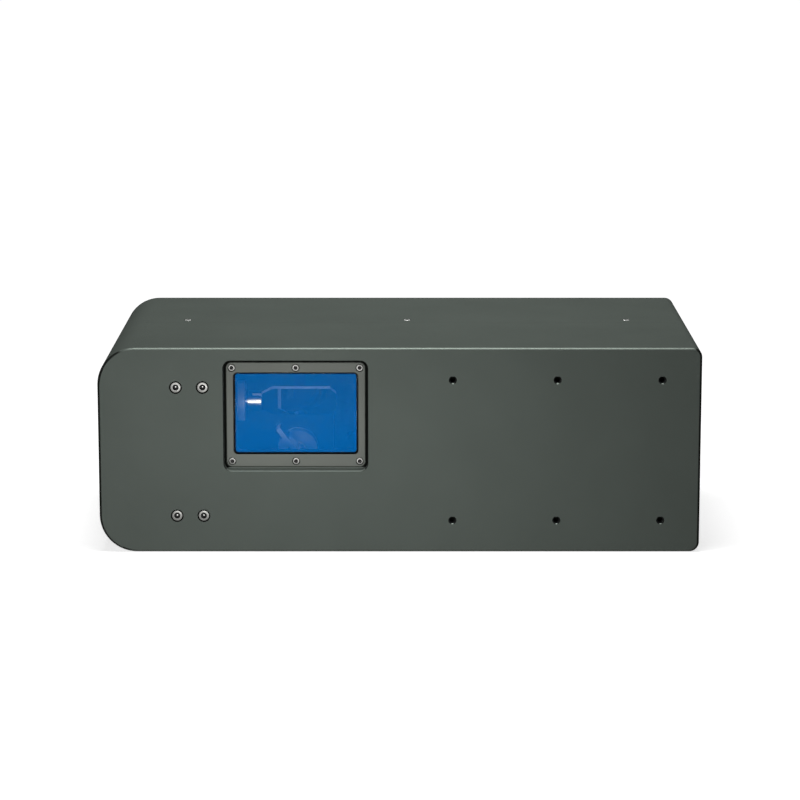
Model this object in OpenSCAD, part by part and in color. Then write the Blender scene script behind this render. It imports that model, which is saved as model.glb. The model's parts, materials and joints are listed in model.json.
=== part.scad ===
// Three-axis galvo scanner head: two-part housing, two mirror galvos, a focus unit and its drivers.
// +Z is up, the window faces -Y and the beam enters through the +X end.

/* [Housing] */
// Length of the housing along the beam
body_l = 385; // [375:1:440]
// Depth from the window face to the back face
body_d = 212; // [208:1:260]
// Height of the housing
body_h = 133; // [130:0.5:150]
// Depth of the front shell, up to the seam
front_d = 101; // [96:1:112]
// Radius of the two corners at the galvo end
nose_r = 24; // [16:1:32]
// Radius of the two corners at the beam end
end_r = 6.2; // [5:0.1:12]
// Fillet along the outer edges
edge_r = 1.7; // [0.8:0.1:3]
// Thickness of the wall that holds the window
front_wall = 12; // [12:0.5:13]
// Thickness of the front shell's side walls
wall = 9; // [8:0.5:11]
// Thickness of the back shell's walls
cover_wall = 4.6; // [4:0.1:5.5]
// Thickness of the back shell's end wall, which holds the connectors
connector_wall = 9; // [8:0.5:11]
// Length of the tongue on the front shell that enters the back shell
tongue_l = 18; // [16:1:22]
// Clearance between parts that nest in each other
fit_gap = 0.15; // [0.1:0.05:0.3]
// Clearance between flat parts that lie on each other
seat_gap = 0.05; // [0.02:0.01:0.2]

/* [Mounting holes] */
// Distance from the beam end to the middle column of tapped holes
grid_from_end = 91.9; // [84:0.1:100]
// Spacing of the tapped holes along the housing
grid_pitch_x = 66.7; // [55:0.1:72]
// Spacing of the two rows of tapped holes
grid_pitch_z = 91.4; // [80:0.1:98]
// Core diameter of the tapped mounting holes
grid_hole_d = 4.2; // [3.3:0.1:5]
// Depth of the tapped mounting holes
grid_hole_depth = 8; // [6:0.5:8.5]

/* [Window] */
// Distance from the galvo end to the middle of the window
window_from_end = 126.2; // [124:0.1:130]
// Height of the middle of the window
window_z = 88.9; // [88:0.1:90]
// Width of the recess round the window frame
recess_w = 91.9; // [91:0.1:95]
// Height of the recess round the window frame
recess_h = 71.5; // [71:0.1:73]
// Radius of the recess corners
recess_r = 5; // [3:0.5:7]
// Gap between the window frame and its recess at the sides
frame_gap = 1.5; // [1:0.05:1.6]
// Gap between the window frame and its recess above and below
frame_gap_z = 1.8; // [1.3:0.05:1.9]
// Depth of the window frame below the window face
frame_sink = 4.8; // [3:0.1:5]
// Thickness of the window frame
frame_t = 2; // [1.8:0.1:2.2]
// Bevel along the edges of the window frame and its recess
frame_bevel = 0.4; // [0.2:0.05:0.5]
// Width of the opening in the window frame
opening_w = 79.5; // [70:0.1:80]
// Height of the opening in the window frame
opening_h = 53.1; // [46:0.1:53.1]
// Radius of the opening's corners
opening_r = 2.8; // [2:0.1:4]
// Thickness of the window glass
glass_t = 2.5; // [2:0.1:2.8]
// Thickness of the gasket behind the glass
gasket_t = 0.7; // [0.5:0.1:0.9]
// Thickness of the blue film on the glass
film_t = 0.12; // [0.08:0.01:0.2]

/* [Galvos] */
// Depth of the beam behind the window face
beam_y = 64; // [62:0.5:67]
// Height of the beam that enters
beam_z = 49; // [47:0.5:50]
// Height of the second mirror above the first
mirror_rise = 38; // [37:0.5:40]
// Distance from the galvo end to the first mirror
first_from_end = 124.5; // [122:0.5:127]
// Diameter of a galvo motor's body
motor_d = 34; // [30:0.5:36]
// Length of a galvo motor's body
motor_l = 54; // [46:1:56]
// Diameter of the turned nose in front of a motor
nose_d = 26.8; // [22:0.2:28]
// Length of that nose
nose_l = 10; // [8:0.5:12]
// Length of the position sensor cap behind a motor
sensor_l = 14; // [12:0.5:14.5]
// Diameter of a galvo shaft
shaft_d = 6; // [5:0.5:7]
// Radial running clearance of a shaft in its bearings
running_gap = 0.04; // [0.02:0.01:0.08]
// Diameter of a mirror clamp
clamp_d = 14; // [13:0.5:16]
// Length of a mirror clamp
clamp_l = 9; // [8:0.5:10]
// Thickness of the first mirror
first_mirror_t = 3; // [2:0.1:3.4]
// Width of the first mirror across its shaft
first_mirror_w = 47; // [36:0.5:47]
// Length of the first mirror along its shaft
first_mirror_l = 24; // [20:0.5:25]
// Tilt of the first mirror from level
first_tilt = 52; // [45:0.5:54]
// Distance of the first mirror's middle plane from the shaft axis
first_offset = 3.4; // [2.5:0.1:3.6]
// Width of the second mirror across its shaft
second_mirror_w = 30; // [26:0.5:30]
// Length of the second mirror's straight edge
second_mirror_l = 37.7; // [30:0.1:40]
// Thickness of the second mirror
second_mirror_t = 2; // [1.6:0.1:3]

/* [Focus unit] */
// Distance from the beam end to the moving lens
focus_from_end = 79; // [77:0.5:82]
// Travel of the moving lens each way
focus_travel = 4; // [2:0.5:4.5]
// Diameter of the moving lens
focus_lens_d = 18; // [14:0.5:19]
// Outer diameter of the voice coil's iron cup
yoke_d = 56; // [54:0.5:58]
// Length of the iron cup
yoke_l = 33; // [32:0.5:35]
// Width of the guide rail
rail_w = 9; // [7:0.5:12]
// Height of the guide rail
rail_h = 6.5; // [5:0.1:7]
// Thickness of the focus unit's base plate
base_t = 6; // [5:0.5:6.5]

/* [Objective] */
// Distance from the beam end to the front rim of the objective
objective_from_end = 212; // [205:1:214]
// Length of the objective barrel
objective_l = 82; // [76:1:84]
// Outer diameter of the barrel
barrel_d = 50; // [46:0.5:54]
// Wall of the barrel
barrel_wall = 3; // [2.5:0.1:4]

/* [Beam port] */
// Diameter of the register that centres the laser's nozzle
register_d = 34; // [30:0.5:36]
// Depth of the register
register_depth = 2.5; // [2:0.1:3]
// Diameter of the entry window
port_glass_d = 22; // [18:0.5:23]
// Bolt circle round the register
port_pcd = 44; // [42:0.5:48]
// Core diameter of the four tapped holes on that circle
port_hole_d = 3.3; // [2.5:0.1:4.2]

/* [Electronics] */
// Width of one driver board
board_w = 100; // [80:1:102]
// Height of one driver board
board_h = 104; // [90:1:116]
// Thickness of the boards
board_t = 1.6; // [1:0.1:2]
// Height of the board standoffs
standoff_l = 12; // [8:0.5:14]
// Gap between neighbouring driver boards
board_gap = 8; // [5:0.5:10]

/* [Hidden] */
$fn = 48;
eps = 0.01;

front_y = -body_d / 2;
body_x0 = -body_l / 2;
body_x1 = body_l / 2;
mid_z = body_h / 2;
back_d = body_d - front_d;
pocket_r = 4;

// Tapped mounting holes, counted from the window face
grid_x = body_x1 - grid_from_end;
hole_bevel = 0.5;
hole_spare = 0.9;

// Galvo block fasteners
block_from_end = 58.4;
block_drop = 0.9;
block_screw_x = body_x0 + block_from_end;
block_screw_z = mid_z - block_drop;
block_screw_pitch_x = 17.1;
block_screw_pitch_z = 83.6;
block_screw_bite = 11;
block_hole = 14;
dowel_d = 4;
dowel_l = 9;
dowel_z = 25;
m4_head_d = 7;
m4_head_h = 4;
m4_key = 3;
m4_counterbore_d = 8.2;
m4_counterbore_depth = 4.3;
m4_clear_d = 4.5;
m4_d = 4;
thread_gap = 0.05;

// Small cap screws in the window frame and the seam
m25_d = 2.5;
m25_clear_d = 2.8;
m25_head_d = 4.3;
m25_head_h = 1.5;
m25_key = 2;
m25_sink_d = 5.1;

// Window stack
window_x = body_x0 + window_from_end;
opening_lift = 0.7;
opening_z = window_z + opening_lift;
frame_w = recess_w - 2 * frame_gap;
frame_h = recess_h - 2 * frame_gap_z;
recess_depth = frame_t + frame_sink + seat_gap;
glass_margin = 1.2;
glass_w = opening_w + 2 * glass_margin;
glass_h = opening_h + 2 * glass_margin;
glass_pocket = glass_t + gasket_t + film_t + 2 * seat_gap;
sight_margin = 2;
frame_screw_in = 3.6;
frame_screw_x = frame_w / 2 - frame_screw_in;
frame_screw_z = frame_h / 2 - frame_screw_in;
frame_screw_l = 4;
frame_screw_sink = m25_head_h + 0.1;
frame_hole = frame_sink + frame_screw_sink + frame_screw_l + hole_spare;
film_margin = 1.1;

// Seam screws
seam_screw_in = 11.3;
seam_screw_y = front_d + seam_screw_in;
seam_screw_x = 5;
seam_screw_pitch = 147;
seam_screw_l = 6;
seam_sink = m25_head_h + 0.1;

// Galvo axes
first_x = body_x0 + first_from_end;
second_z = beam_z + mirror_rise;
second_shift = 1.1;
second_mid_x = window_x + second_shift;
first_reach = 10;
first_nose_y = beam_y + first_mirror_l / 2 + first_reach;
first_shoulder_l = 4;
first_shoulder_w = 9;
second_reach = 17.4;
second_taper_l = 7.3;
second_taper_w = 6.2;
second_nose_x = second_mid_x - second_mirror_l / 2 - second_reach;
clamp_gap = 1.6;
clamp_neck_w = 11;
clamp_socket = 3;
neck_gap = 0.3;

// Galvo block, bored for the second motor, with a web across its back for the first
block_side = 17.9;
block_margin = 6.9;
block_lip = 8;
nose_reveal = 8;
block_x0 = block_screw_x - block_side;
block_x1 = second_nose_x - nose_reveal;
block_z0 = block_screw_z - block_screw_pitch_z / 2 - block_margin;
block_z1 = block_screw_z + block_screw_pitch_z / 2 + block_margin;
web_y = first_nose_y + nose_reveal;
web_t = 30;
web_side = 7;
web_lid = 12;
web_x1 = first_x + motor_d / 2 + web_side;
web_z1 = beam_z + motor_d / 2 + web_lid;
set_screw_l = 6;
set_screw_key = 2;
block_set_pitch = 22;
web_set_pitch = 14;

// Focus unit
focus_x = body_x1 - focus_from_end;
yoke_lead = 20;
yoke_x = focus_x + yoke_lead;
yoke_wall = 4.5;
yoke_floor = 6;
yoke_foot_l = 16;
yoke_foot_w = 44;
yoke_foot_h = 18;
yoke_ear_w = 11;
yoke_ear_h = 6;
magnet_t = 4;
magnet_l = 22;
magnet_inset = 3;
magnet_r = yoke_d / 2 - yoke_wall - magnet_t;
pole_gap = 3.5;
pole_wall = 4;
pole_inset = 2;
pole_r = magnet_r - pole_gap;
pole_bore_r = pole_r - pole_wall;
base_lead = 42;
base_tail = 12;
base_x0 = focus_x - base_lead;
base_l = yoke_x + yoke_l + base_tail - base_x0;
base_w = yoke_d + 10;
base_top = wall + seat_gap + base_t;
base_screw_inset = 6;
floor_hole = 6.5;
hole_floor = 0.5;
base_screw_l = base_t + floor_hole - hole_floor;
base_hole = base_t - hole_floor;
rail_lead = 27;
rail_l = 46;
rail_screw_l = 8;
rail_screw_sink = 3.3;
cell_wall = 2.5;
cell_d = focus_lens_d + 2 * cell_wall;
cell_flange_t = 2;
cell_flange_w = 2;
cell_ledge = 1;
focus_lens_t = 4;
focus_lens_mid = 1.5;
focus_lens_curve = 20;
carriage_lead = 19;
carriage_l = 30;
carriage_w = 20;
carriage_lift = 2;
saddle_t = 4.5;
ring_t = 10;
ring_wall = 5;
coil_l = 35;
coil_w = 16;
coil_t = 0.9;
former_gap = 0.7;
former_t = 1;
former_plate = 2;
stop_t = 5;
stop_w = 4;
stop_h = 5.4;
stop_y = 8;
stop_gap = 0.5;

// Objective
objective_x = body_x1 - objective_from_end;
barrel_r = barrel_d / 2;
barrel_bore_r = barrel_r - barrel_wall;
barrel_lip = 2;
barrel_lip_l = 6;
cradle_lead = 26;
cradle_l = 30;
cradle_side = 12;
cradle_foot_l = 11;
cradle_screw_in = 8;
strap_screw_in = 5.5;
strap_screw_z = 12;
strap_screw_l = 24;
strap_hole = 16;
strap_t = 6;
split_gap = 0.5;

// Beam port
port_boss = 4;
port_boss_margin = 5;
port_hole_depth = 7;
port_ring_h = 3;
port_ring_low = 0.5;
spanner_hole_d = 1.6;
spanner_hole_in = 2;
spanner_hole_depth = 2.2;
port_ring_d = port_glass_d + 4;
port_glass_t = 3;
port_oring_t = 1;
port_bore_d = port_glass_d - 4;

// Electronics
board_y = body_d - cover_wall - standoff_l - board_t - 2 * seat_gap;
board_z = mid_z;
board_lead = 18.5;
first_board_x = body_x0 + board_lead + board_w / 2;
hole_inset = 5;
heatsink_w = 60;
heatsink_h = 14;
heatsink_t = 3;
heatsink_z = 22;
fin_t = 1;
fin_l = 9;
chip_l = 14;
chip_t = 1.8;
chip_x = -20;
chip_z = -6;
relay_w = 10;
relay_x = 8;
capacitor_d = 10;
capacitor_l = 12;
capacitor_pitch = 16;
capacitor_z = -30;
header_l = 48;
header_h = 8;
header_w = 6;
m3_d = 3;
m3_clear_d = 3.3;
m3_head_d = 5.5;
m3_head_h = 3;
m3_key = 2.5;
stud_l = 2.5;
post_key = 6;
board_screw_bite = 5;
stud_hole = stud_l + fit_gap;
io_lead = 30;
io_y = front_d + io_lead;
io_gap = 4.7;
io_w = board_y - io_y - io_gap;
io_behind = 14.5;
io_board_x = body_x1 - connector_wall - io_behind;
signal_shift = 3;
signal_rise = 14;
signal_y = io_y + io_w / 2 + signal_shift;
signal_z = mid_z + signal_rise;
power_drop = 38;
power_z = mid_z - power_drop;
dsub_flange_w = 53;
dsub_flange_h = 12.5;
dsub_flange_t = 1.2;
dsub_pitch = 47.1;
dsub_long = 39;
dsub_short = 37.2;
dsub_shell_h = 8.3;
dsub_shell_l = 5.9;
dsub_body_w = 42;
dsub_body_h = 10.8;
dsub_gap = 0.5;
pin_d = 1.1;
pin_l = 4;
pin_pitch = 2.77;
pin_row = 1.4;
jack_key = 4.8;
jack_l = 5;
jack_d = 2.8;
jack_stud_l = 6;
jack_hole_d = 2.3;
jack_clear_d = 7;
power_d = 19;
power_wall = 2.5;
power_low = 0.6;
power_back_l = 10;
power_nut = 26;
power_nut_t = 3.5;
power_pin_d = 1.6;
power_pin_r = 4;
power_pin_l = 6;

function from_front(y) = front_y + y;

// ---------- shared shapes ----------

// Rounded rectangle, centred on x and standing on y = 0, with its own radius at each end
module rounded_rect(l, h, left_r, right_r) {
    translate([-l / 2 + left_r, 0]) square([l - left_r - right_r, h]);
    translate([-l / 2, left_r]) square([left_r, h - 2 * left_r]);
    translate([l / 2 - right_r, right_r]) square([right_r, h - 2 * right_r]);
    for (z = [left_r, h - left_r]) translate([-l / 2 + left_r, z]) circle(r = left_r);
    for (z = [right_r, h - right_r]) translate([l / 2 - right_r, z]) circle(r = right_r);
}

// Rounded rectangle centred on the origin
module centred_rect(l, h, r) translate([0, -h / 2]) rounded_rect(l, h, r, r);

// Plate on z = 0 that shrinks by its own thickness t on every side
module tapered_plate(l, h, r, t) {
    for (x = [r - l / 2, l / 2 - r], y = [r - h / 2, h / 2 - r])
        translate([x, y, 0]) cylinder(r1 = r, r2 = r - t, h = t);
    translate([r - l / 2, 0, 0]) rotate([90, 0, 90]) linear_extrude(l - 2 * r) taper_section(h, t);
    translate([0, h / 2 - r, 0]) rotate([90, 0, 0]) linear_extrude(h - 2 * r) taper_section(l, t);
}

module taper_section(w, t) polygon([[-w / 2, 0], [w / 2, 0], [w / 2 - t, t], [t - w / 2, t]]);

// Cut that bevels the edge of an opening whose rim lies at depth y0
module edge_bevel(y0, l, h, r) {
    b = frame_bevel + eps;
    translate([0, from_front(y0 - eps), 0]) rotate([-90, 0, 0]) tapered_plate(l + 2 * b, h + 2 * b, r + b, b);
}

// Extrudes an outline drawn in XZ from depth y0 over a length t, measured from the window face
module from_face(y0, t) {
    translate([0, from_front(y0), 0]) rotate([90, 0, 0]) translate([0, 0, -t]) linear_extrude(t) children();
}

// Round bar along +Y from a depth y0
module bar_y(x, y0, z, d, l) {
    translate([x, from_front(y0), z]) rotate([-90, 0, 0]) cylinder(d = d, h = l);
}

// Round bar along +X
module bar_x(x, y, z, d, l) translate([x, from_front(y), z]) rotate([0, 90, 0]) cylinder(d = d, h = l);

// Outline of the housing, set in from its outside
module housing_outline(inset, right_r) {
    translate([0, inset])
        rounded_rect(body_l - 2 * inset, body_h - 2 * inset, nose_r - inset, right_r);
}

// Half section of a slab whose face at v = 0 has a filleted rim
module rim_section(r, depth) {
    square([r - edge_r, depth]);
    translate([0, edge_r]) square([r, depth - edge_r]);
    translate([r - edge_r, edge_r]) circle(r = edge_r);
}

// One quarter of the slab at a corner of radius r
module slab_corner(r, depth, turn) {
    rotate([-90, 0, 0]) rotate([0, 0, turn]) rotate_extrude(angle = 90) rim_section(r, depth);
}

// Straight end of the slab between its two corners
module slab_end(r, depth) {
    translate([0, 0, r]) linear_extrude(body_h - 2 * r) rim_section(r, depth);
}

// Slab with the housing's outline and a filleted rim at y = 0, running to y = depth
module housing_slab(depth) {
    nose_x = body_x0 + nose_r;
    end_x = body_x1 - end_r;
    translate([nose_x, 0, 0]) rotate([90, 0, 90]) linear_extrude(end_x - nose_x) {
        translate([edge_r, 0]) square([depth - edge_r, body_h]);
        translate([0, edge_r]) square([edge_r, body_h - 2 * edge_r]);
        for (z = [edge_r, body_h - edge_r]) translate([edge_r, z]) circle(r = edge_r);
    }
    translate([end_x, 0, 0]) slab_end(end_r, depth);
    translate([nose_x, 0, 0]) mirror([1, 0, 0]) slab_end(nose_r, depth);
    translate([end_x, 0, end_r]) slab_corner(end_r, depth, 0);
    translate([end_x, 0, body_h - end_r]) slab_corner(end_r, depth, 270);
    translate([nose_x, 0, nose_r]) slab_corner(nose_r, depth, 90);
    translate([nose_x, 0, body_h - nose_r]) slab_corner(nose_r, depth, 180);
}

// Cap screw with a hex socket: its head stands on z = 0 and its shank points down
module cap_screw(d, l, head_d, head_h, key) {
    bevel = head_d * 0.06;
    difference() {
        union() {
            cylinder(d = head_d, h = head_h - bevel);
            translate([0, 0, head_h - bevel]) cylinder(d1 = head_d, d2 = head_d - 2 * bevel, h = bevel);
            translate([0, 0, -l]) cylinder(d = d, h = l + head_h / 4);
        }
        translate([0, 0, head_h * 0.45]) cylinder(d = key / cos(30), h = head_h, $fn = 6);
    }
}

module m4_screw(l) cap_screw(m4_d, l, m4_head_d, m4_head_h, m4_key);
module m3_screw(l) cap_screw(m3_d, l, m3_head_d, m3_head_h, m3_key);
module m25_screw(l) cap_screw(m25_d, l, m25_head_d, m25_head_h, m25_key);

// Washer-like ring standing on z = 0
module ring(outer_d, inner_d, h) {
    difference() {
        cylinder(d = outer_d, h = h);
        translate([0, 0, -eps]) cylinder(d = inner_d, h = h + 2 * eps);
    }
}

// Places children at each corner of a grid in XZ
module at_corners(x, z, pitch_x, pitch_z) {
    for (i = [-0.5, 0.5], k = [-0.5, 0.5]) translate([x + i * pitch_x, 0, z + k * pitch_z]) children();
}

module at_frame_screws() {
    for (i = [-1, 0, 1], k = [-1, 1])
        translate([window_x + i * frame_screw_x, 0, window_z + k * frame_screw_z]) children();
}

module at_block_screws() {
    at_corners(block_screw_x, block_screw_z, block_screw_pitch_x, block_screw_pitch_z) children();
}

// The three screws along the seam, on top and below
module at_seam_screws() {
    for (i = [-1, 0, 1], side = [0, 1])
        translate([seam_screw_x + i * seam_screw_pitch, from_front(seam_screw_y), side * body_h])
            rotate([0, (1 - side) * 180, 0]) children();
}

// ---------- housing ----------

module front_shell() color("#555a56") difference() {
    union() {
        translate([0, front_y, 0]) housing_slab(front_d);
        tongue_inset = cover_wall + fit_gap;
        from_face(front_d - wall, tongue_l + wall)
            housing_outline(tongue_inset, pocket_r + wall - tongue_inset);
    }
    difference() {
        from_face(front_wall, body_d) housing_outline(wall, pocket_r);
        bar_x(body_x1 - wall - port_boss, beam_y, beam_z, port_pcd + 2 * port_boss_margin,
            port_boss + wall);
    }
    window_cuts();
    port_cuts();
    for (i = [-1, 0, 1], k = [-0.5, 0.5])
        translate([grid_x + i * grid_pitch_x, front_y, mid_z + k * grid_pitch_z]) rotate([-90, 0, 0]) {
            cylinder(d = grid_hole_d, h = grid_hole_depth);
            translate([0, 0, -eps])
                cylinder(d1 = grid_hole_d + 2 * hole_bevel, d2 = grid_hole_d, h = hole_bevel);
        }
    at_block_screws() {
        bar_y(0, -eps, 0, m4_counterbore_d, m4_counterbore_depth);
        bar_y(0, -eps, 0, m4_clear_d, front_wall + 1);
    }
    at_seam_screws() translate([0, 0, -wall - 1]) cylinder(d = m25_d + 2 * thread_gap, h = wall + 2);
    seal_groove();
    floor_screws() cylinder(d = m4_d + 2 * thread_gap, h = floor_hole + 1);
    at_cradle_screws() translate([0, 0, wall - floor_hole])
        cylinder(d = m4_d + 2 * thread_gap, h = floor_hole + 1);
    at_block_dowels() cylinder(d = dowel_d + 2 * seat_gap, h = dowel_l / 2 + seat_gap);
}

// Stepped pocket for the frame, the glass and the beam
module window_cuts() {
    translate([window_x, 0, window_z]) {
        from_face(-eps, recess_depth + eps) centred_rect(recess_w, recess_h, recess_r);
        edge_bevel(0, recess_w, recess_h, recess_r);
    }
    translate([window_x, 0, opening_z]) {
        from_face(0, recess_depth + glass_pocket)
            centred_rect(glass_w + 2 * fit_gap, glass_h + 2 * fit_gap, opening_r + glass_margin);
        from_face(0, front_wall + 1)
            centred_rect(opening_w - 2 * sight_margin, opening_h - 2 * sight_margin, opening_r);
    }
    at_frame_screws() bar_y(0, 0, 0, m25_d + 2 * thread_gap, frame_hole);
}

// Stepped bore that the beam enters through, with its bolt circle
module port_cuts() translate([body_x1, from_front(beam_y), beam_z]) rotate([0, -90, 0]) {
    ring_bottom = register_depth + port_ring_h;
    translate([0, 0, -eps]) cylinder(d = register_d, h = register_depth + eps);
    cylinder(d = port_ring_d + 2 * thread_gap, h = ring_bottom);
    cylinder(d = port_glass_d + 2 * fit_gap, h = ring_bottom + port_glass_t + port_oring_t);
    cylinder(d = port_bore_d, h = wall + port_boss + 1);
    for (a = [45:90:315])
        rotate([0, 0, a]) translate([port_pcd / 2, 0, -eps]) cylinder(d = port_hole_d, h = port_hole_depth);
}

seal_w = 1.8;
seal_y = front_d + 3;
seal_depth = 1.5;

// Groove round the tongue for the seal
module seal_groove() difference() {
    from_face(seal_y, seal_w + 2 * seat_gap) housing_outline(cover_wall - 1, end_r - 1);
    from_face(seal_y - 1, seal_w + 2 + 2 * seat_gap) seal_inner();
}

module seal_inner() {
    seal_inset = cover_wall + fit_gap + seal_depth;
    housing_outline(seal_inset, pocket_r + wall - seal_inset);
}

module shell_seal() color("#1a1a1a") from_face(seal_y + seat_gap, seal_w) difference() {
    seal_inset = cover_wall + seat_gap;
    housing_outline(seal_inset, pocket_r + wall - seal_inset);
    seal_rest = cover_wall + fit_gap + seal_depth - seat_gap;
    housing_outline(seal_rest, pocket_r + wall - seal_rest);
}

module back_shell() color("#5a5f5b") difference() {
    translate([0, -front_y, 0]) mirror([0, 1, 0]) housing_slab(back_d - seat_gap);
    cavity_l = back_d - cover_wall;
    from_face(front_d - 1, tongue_l + 1 + fit_gap) housing_outline(cover_wall, pocket_r + wall - cover_wall);
    from_face(front_d, cavity_l) back_cavity();
    at_seam_screws() translate([0, 0, -seam_sink]) cylinder(d = m25_sink_d, h = seam_sink + 1);
    at_seam_screws() translate([0, 0, -wall]) cylinder(d = m25_clear_d, h = wall + 1);
    board_hole_positions() bar_y(0, body_d - cover_wall - 1, 0, m3_d + 2 * thread_gap, 1 + stud_hole);
    at_io_holes() translate([io_post_l, 0, 0]) rotate([0, 90, 0])
        cylinder(d = m3_d + 2 * thread_gap, h = stud_hole + 2 * seat_gap);
    connector_cuts();
}

// Hollow of the back shell, stopped short at the connector wall
module back_cavity() intersection() {
    housing_outline(cover_wall, pocket_r);
    translate([body_x0, 0]) square([body_l - connector_wall, body_h]);
}

// Openings in the end wall for the two connectors and the jackscrews
module connector_cuts() {
    translate([body_x1 - connector_wall - 1, from_front(signal_y), signal_z]) rotate([90, 0, 90])
        linear_extrude(connector_wall + 2) dsub_outline(dsub_gap);
    for (k = [-0.5, 0.5])
        bar_x(body_x1 - connector_wall - 1, signal_y, signal_z + k * dsub_pitch, jack_clear_d,
            connector_wall + 2);
    bar_x(body_x1 - connector_wall - 1, signal_y, power_z, power_d + 2 * fit_gap, connector_wall + 2);
}

module seam_screws() color("#c8c8c4") at_seam_screws()
    translate([0, 0, -seam_sink + seat_gap]) m25_screw(seam_screw_l);

// Two pins locate the galvo block on the window wall; z = 0 is inside the wall
module at_block_dowels() for (k = [-1, 1])
    translate([block_screw_x, from_front(front_wall - dowel_l / 2), block_screw_z + k * dowel_z])
        rotate([-90, 0, 0]) children();

module block_dowels() color("#c8c8c4") at_block_dowels()
    translate([0, 0, seat_gap]) cylinder(d = dowel_d, h = dowel_l);

module window_frame() color("#6e726e") difference() {
    translate([window_x, 0, window_z]) {
        frame_r = recess_r - frame_gap;
        from_face(frame_sink + frame_bevel, frame_t - frame_bevel) centred_rect(frame_w, frame_h, frame_r);
        translate([0, from_front(frame_sink + frame_bevel), 0]) rotate([90, 0, 0])
            tapered_plate(frame_w, frame_h, frame_r, frame_bevel);
    }
    translate([window_x, 0, opening_z]) {
        from_face(0, front_wall) centred_rect(opening_w, opening_h, opening_r);
        edge_bevel(frame_sink, opening_w, opening_h, opening_r);
    }
    at_frame_screws() {
        bar_y(0, 0, 0, m25_clear_d, front_wall);
        bar_y(0, 0, 0, m25_sink_d, frame_sink + frame_screw_sink);
    }
}

module window_frame_screws() color("#d0d0cc") at_frame_screws()
    translate([0, from_front(frame_sink + frame_screw_sink - seat_gap), 0]) rotate([90, 0, 0])
        m25_screw(frame_screw_l);

glass_y = frame_sink + frame_t + film_t + 2 * seat_gap;

module window_glass() color("#9fc4d8", 0.35) translate([window_x, 0, opening_z])
    from_face(glass_y, glass_t) centred_rect(glass_w, glass_h, opening_r + glass_margin - fit_gap);

module window_film() color("#105ca0", 0.8) translate([window_x, 0, opening_z])
    from_face(glass_y - film_t, film_t)
        centred_rect(opening_w - 2 * film_margin, opening_h - 2 * film_margin, opening_r - film_margin);

module window_gasket() color("#1a1a1a") translate([window_x, 0, opening_z])
    from_face(glass_y + glass_t, gasket_t) difference() {
        centred_rect(glass_w, glass_h, opening_r + glass_margin - fit_gap);
        centred_rect(opening_w - 2 * sight_margin, opening_h - 2 * sight_margin, opening_r);
    }

// ---------- beam port ----------

// Places children in the port, with +Z pointing out of the housing and z = 0 on the end face
module in_port() translate([body_x1, from_front(beam_y), beam_z]) rotate([0, 90, 0]) children();

port_glass_z = -register_depth - port_ring_h - port_glass_t;

module beam_port_ring() color("#8d9290") in_port() difference() {
    translate([0, 0, -register_depth - port_ring_h + seat_gap])
        ring(port_ring_d, port_bore_d, port_ring_h - port_ring_low);
    for (a = [0, 180]) rotate([0, 0, a])
        translate([port_ring_d / 2 - spanner_hole_in, 0, -register_depth - spanner_hole_depth])
            cylinder(d = spanner_hole_d, h = spanner_hole_depth + 1);
}

module beam_port_glass() color("#bcd6e0", 0.35) in_port()
    translate([0, 0, port_glass_z]) cylinder(d = port_glass_d, h = port_glass_t);

module beam_port_oring() color("#1a1a1a") in_port()
    translate([0, 0, port_glass_z - port_oring_t + seat_gap])
        ring(port_glass_d, port_bore_d, port_oring_t - 2 * seat_gap);

// ---------- galvo block ----------

module galvo_block() color("#2c2e2d") difference() {
    block_y0 = front_wall + seat_gap;
    union() {
        translate([block_x0, from_front(block_y0), block_z0])
            cube([block_x1 - block_x0, web_y + web_t - block_y0, web_z1 - block_z0]);
        translate([block_x0, from_front(block_y0), block_z0])
            cube([block_x1 - block_x0, beam_y + motor_d / 2 + block_lip - block_y0, block_z1 - block_z0]);
        translate([block_x0, from_front(web_y), block_z0])
            cube([web_x1 - block_x0, web_t, web_z1 - block_z0]);
    }
    bar_x(block_x0 - 1, beam_y, second_z, motor_d + 2 * fit_gap, block_x1 - block_x0 + 2);
    bar_y(first_x, web_y - 1, beam_z, motor_d + 2 * fit_gap, web_t + 2);
    at_block_screws() bar_y(0, block_y0 - 1, 0, m4_d + 2 * thread_gap, block_hole);
    at_block_dowels() cylinder(d = dowel_d + 2 * seat_gap, h = dowel_l + 1);
    at_set_screws() translate([0, 0, -1]) cylinder(d = m4_d + 2 * thread_gap, h = block_z1);
}

module galvo_block_screws() color("#d0d0cc") at_block_screws()
    translate([0, from_front(m4_counterbore_depth - seat_gap), 0]) rotate([90, 0, 0])
        m4_screw(front_wall - m4_counterbore_depth + block_screw_bite);

// Set screws press on each motor from above; z = 0 is the top of the motor
module at_set_screws() {
    for (i = [-0.5, 0.5]) translate([(block_x0 + block_x1) / 2 + i * block_set_pitch,
        from_front(beam_y), second_z + motor_d / 2]) children();
    for (i = [-0.5, 0.5]) translate([first_x,
        from_front(web_y + web_t / 2 + i * web_set_pitch), beam_z + motor_d / 2]) children();
}

module motor_set_screws() color("#9a9a96") at_set_screws() difference() {
    translate([0, 0, seat_gap]) cylinder(d = m4_d, h = set_screw_l);
    translate([0, 0, set_screw_l / 2]) cylinder(d = set_screw_key / cos(30), h = set_screw_l, $fn = 6);
}

// ---------- galvo motors ----------

// A motor stands on its axis with its nose face at z = 0 and its body below
body_top = -nose_l;
body_bottom = body_top - motor_l;
bearing_h = 4;
bearing_d = 13;
bearing_sink = 2;
shaft_clear = 1;
bore_d = motor_d - 10;
bore_back = 8;
bore_l = motor_l - 14;
winding_t = 2.4;
winding_end = 2;
magnet_end = 3;
air_gap = 0.6;
sensor_step = 2;
sensor_wall = 2;
shaft_back = 4;
vane_d = motor_d - 12;
vane_w = 8;
vane_t = 1.5;

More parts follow.
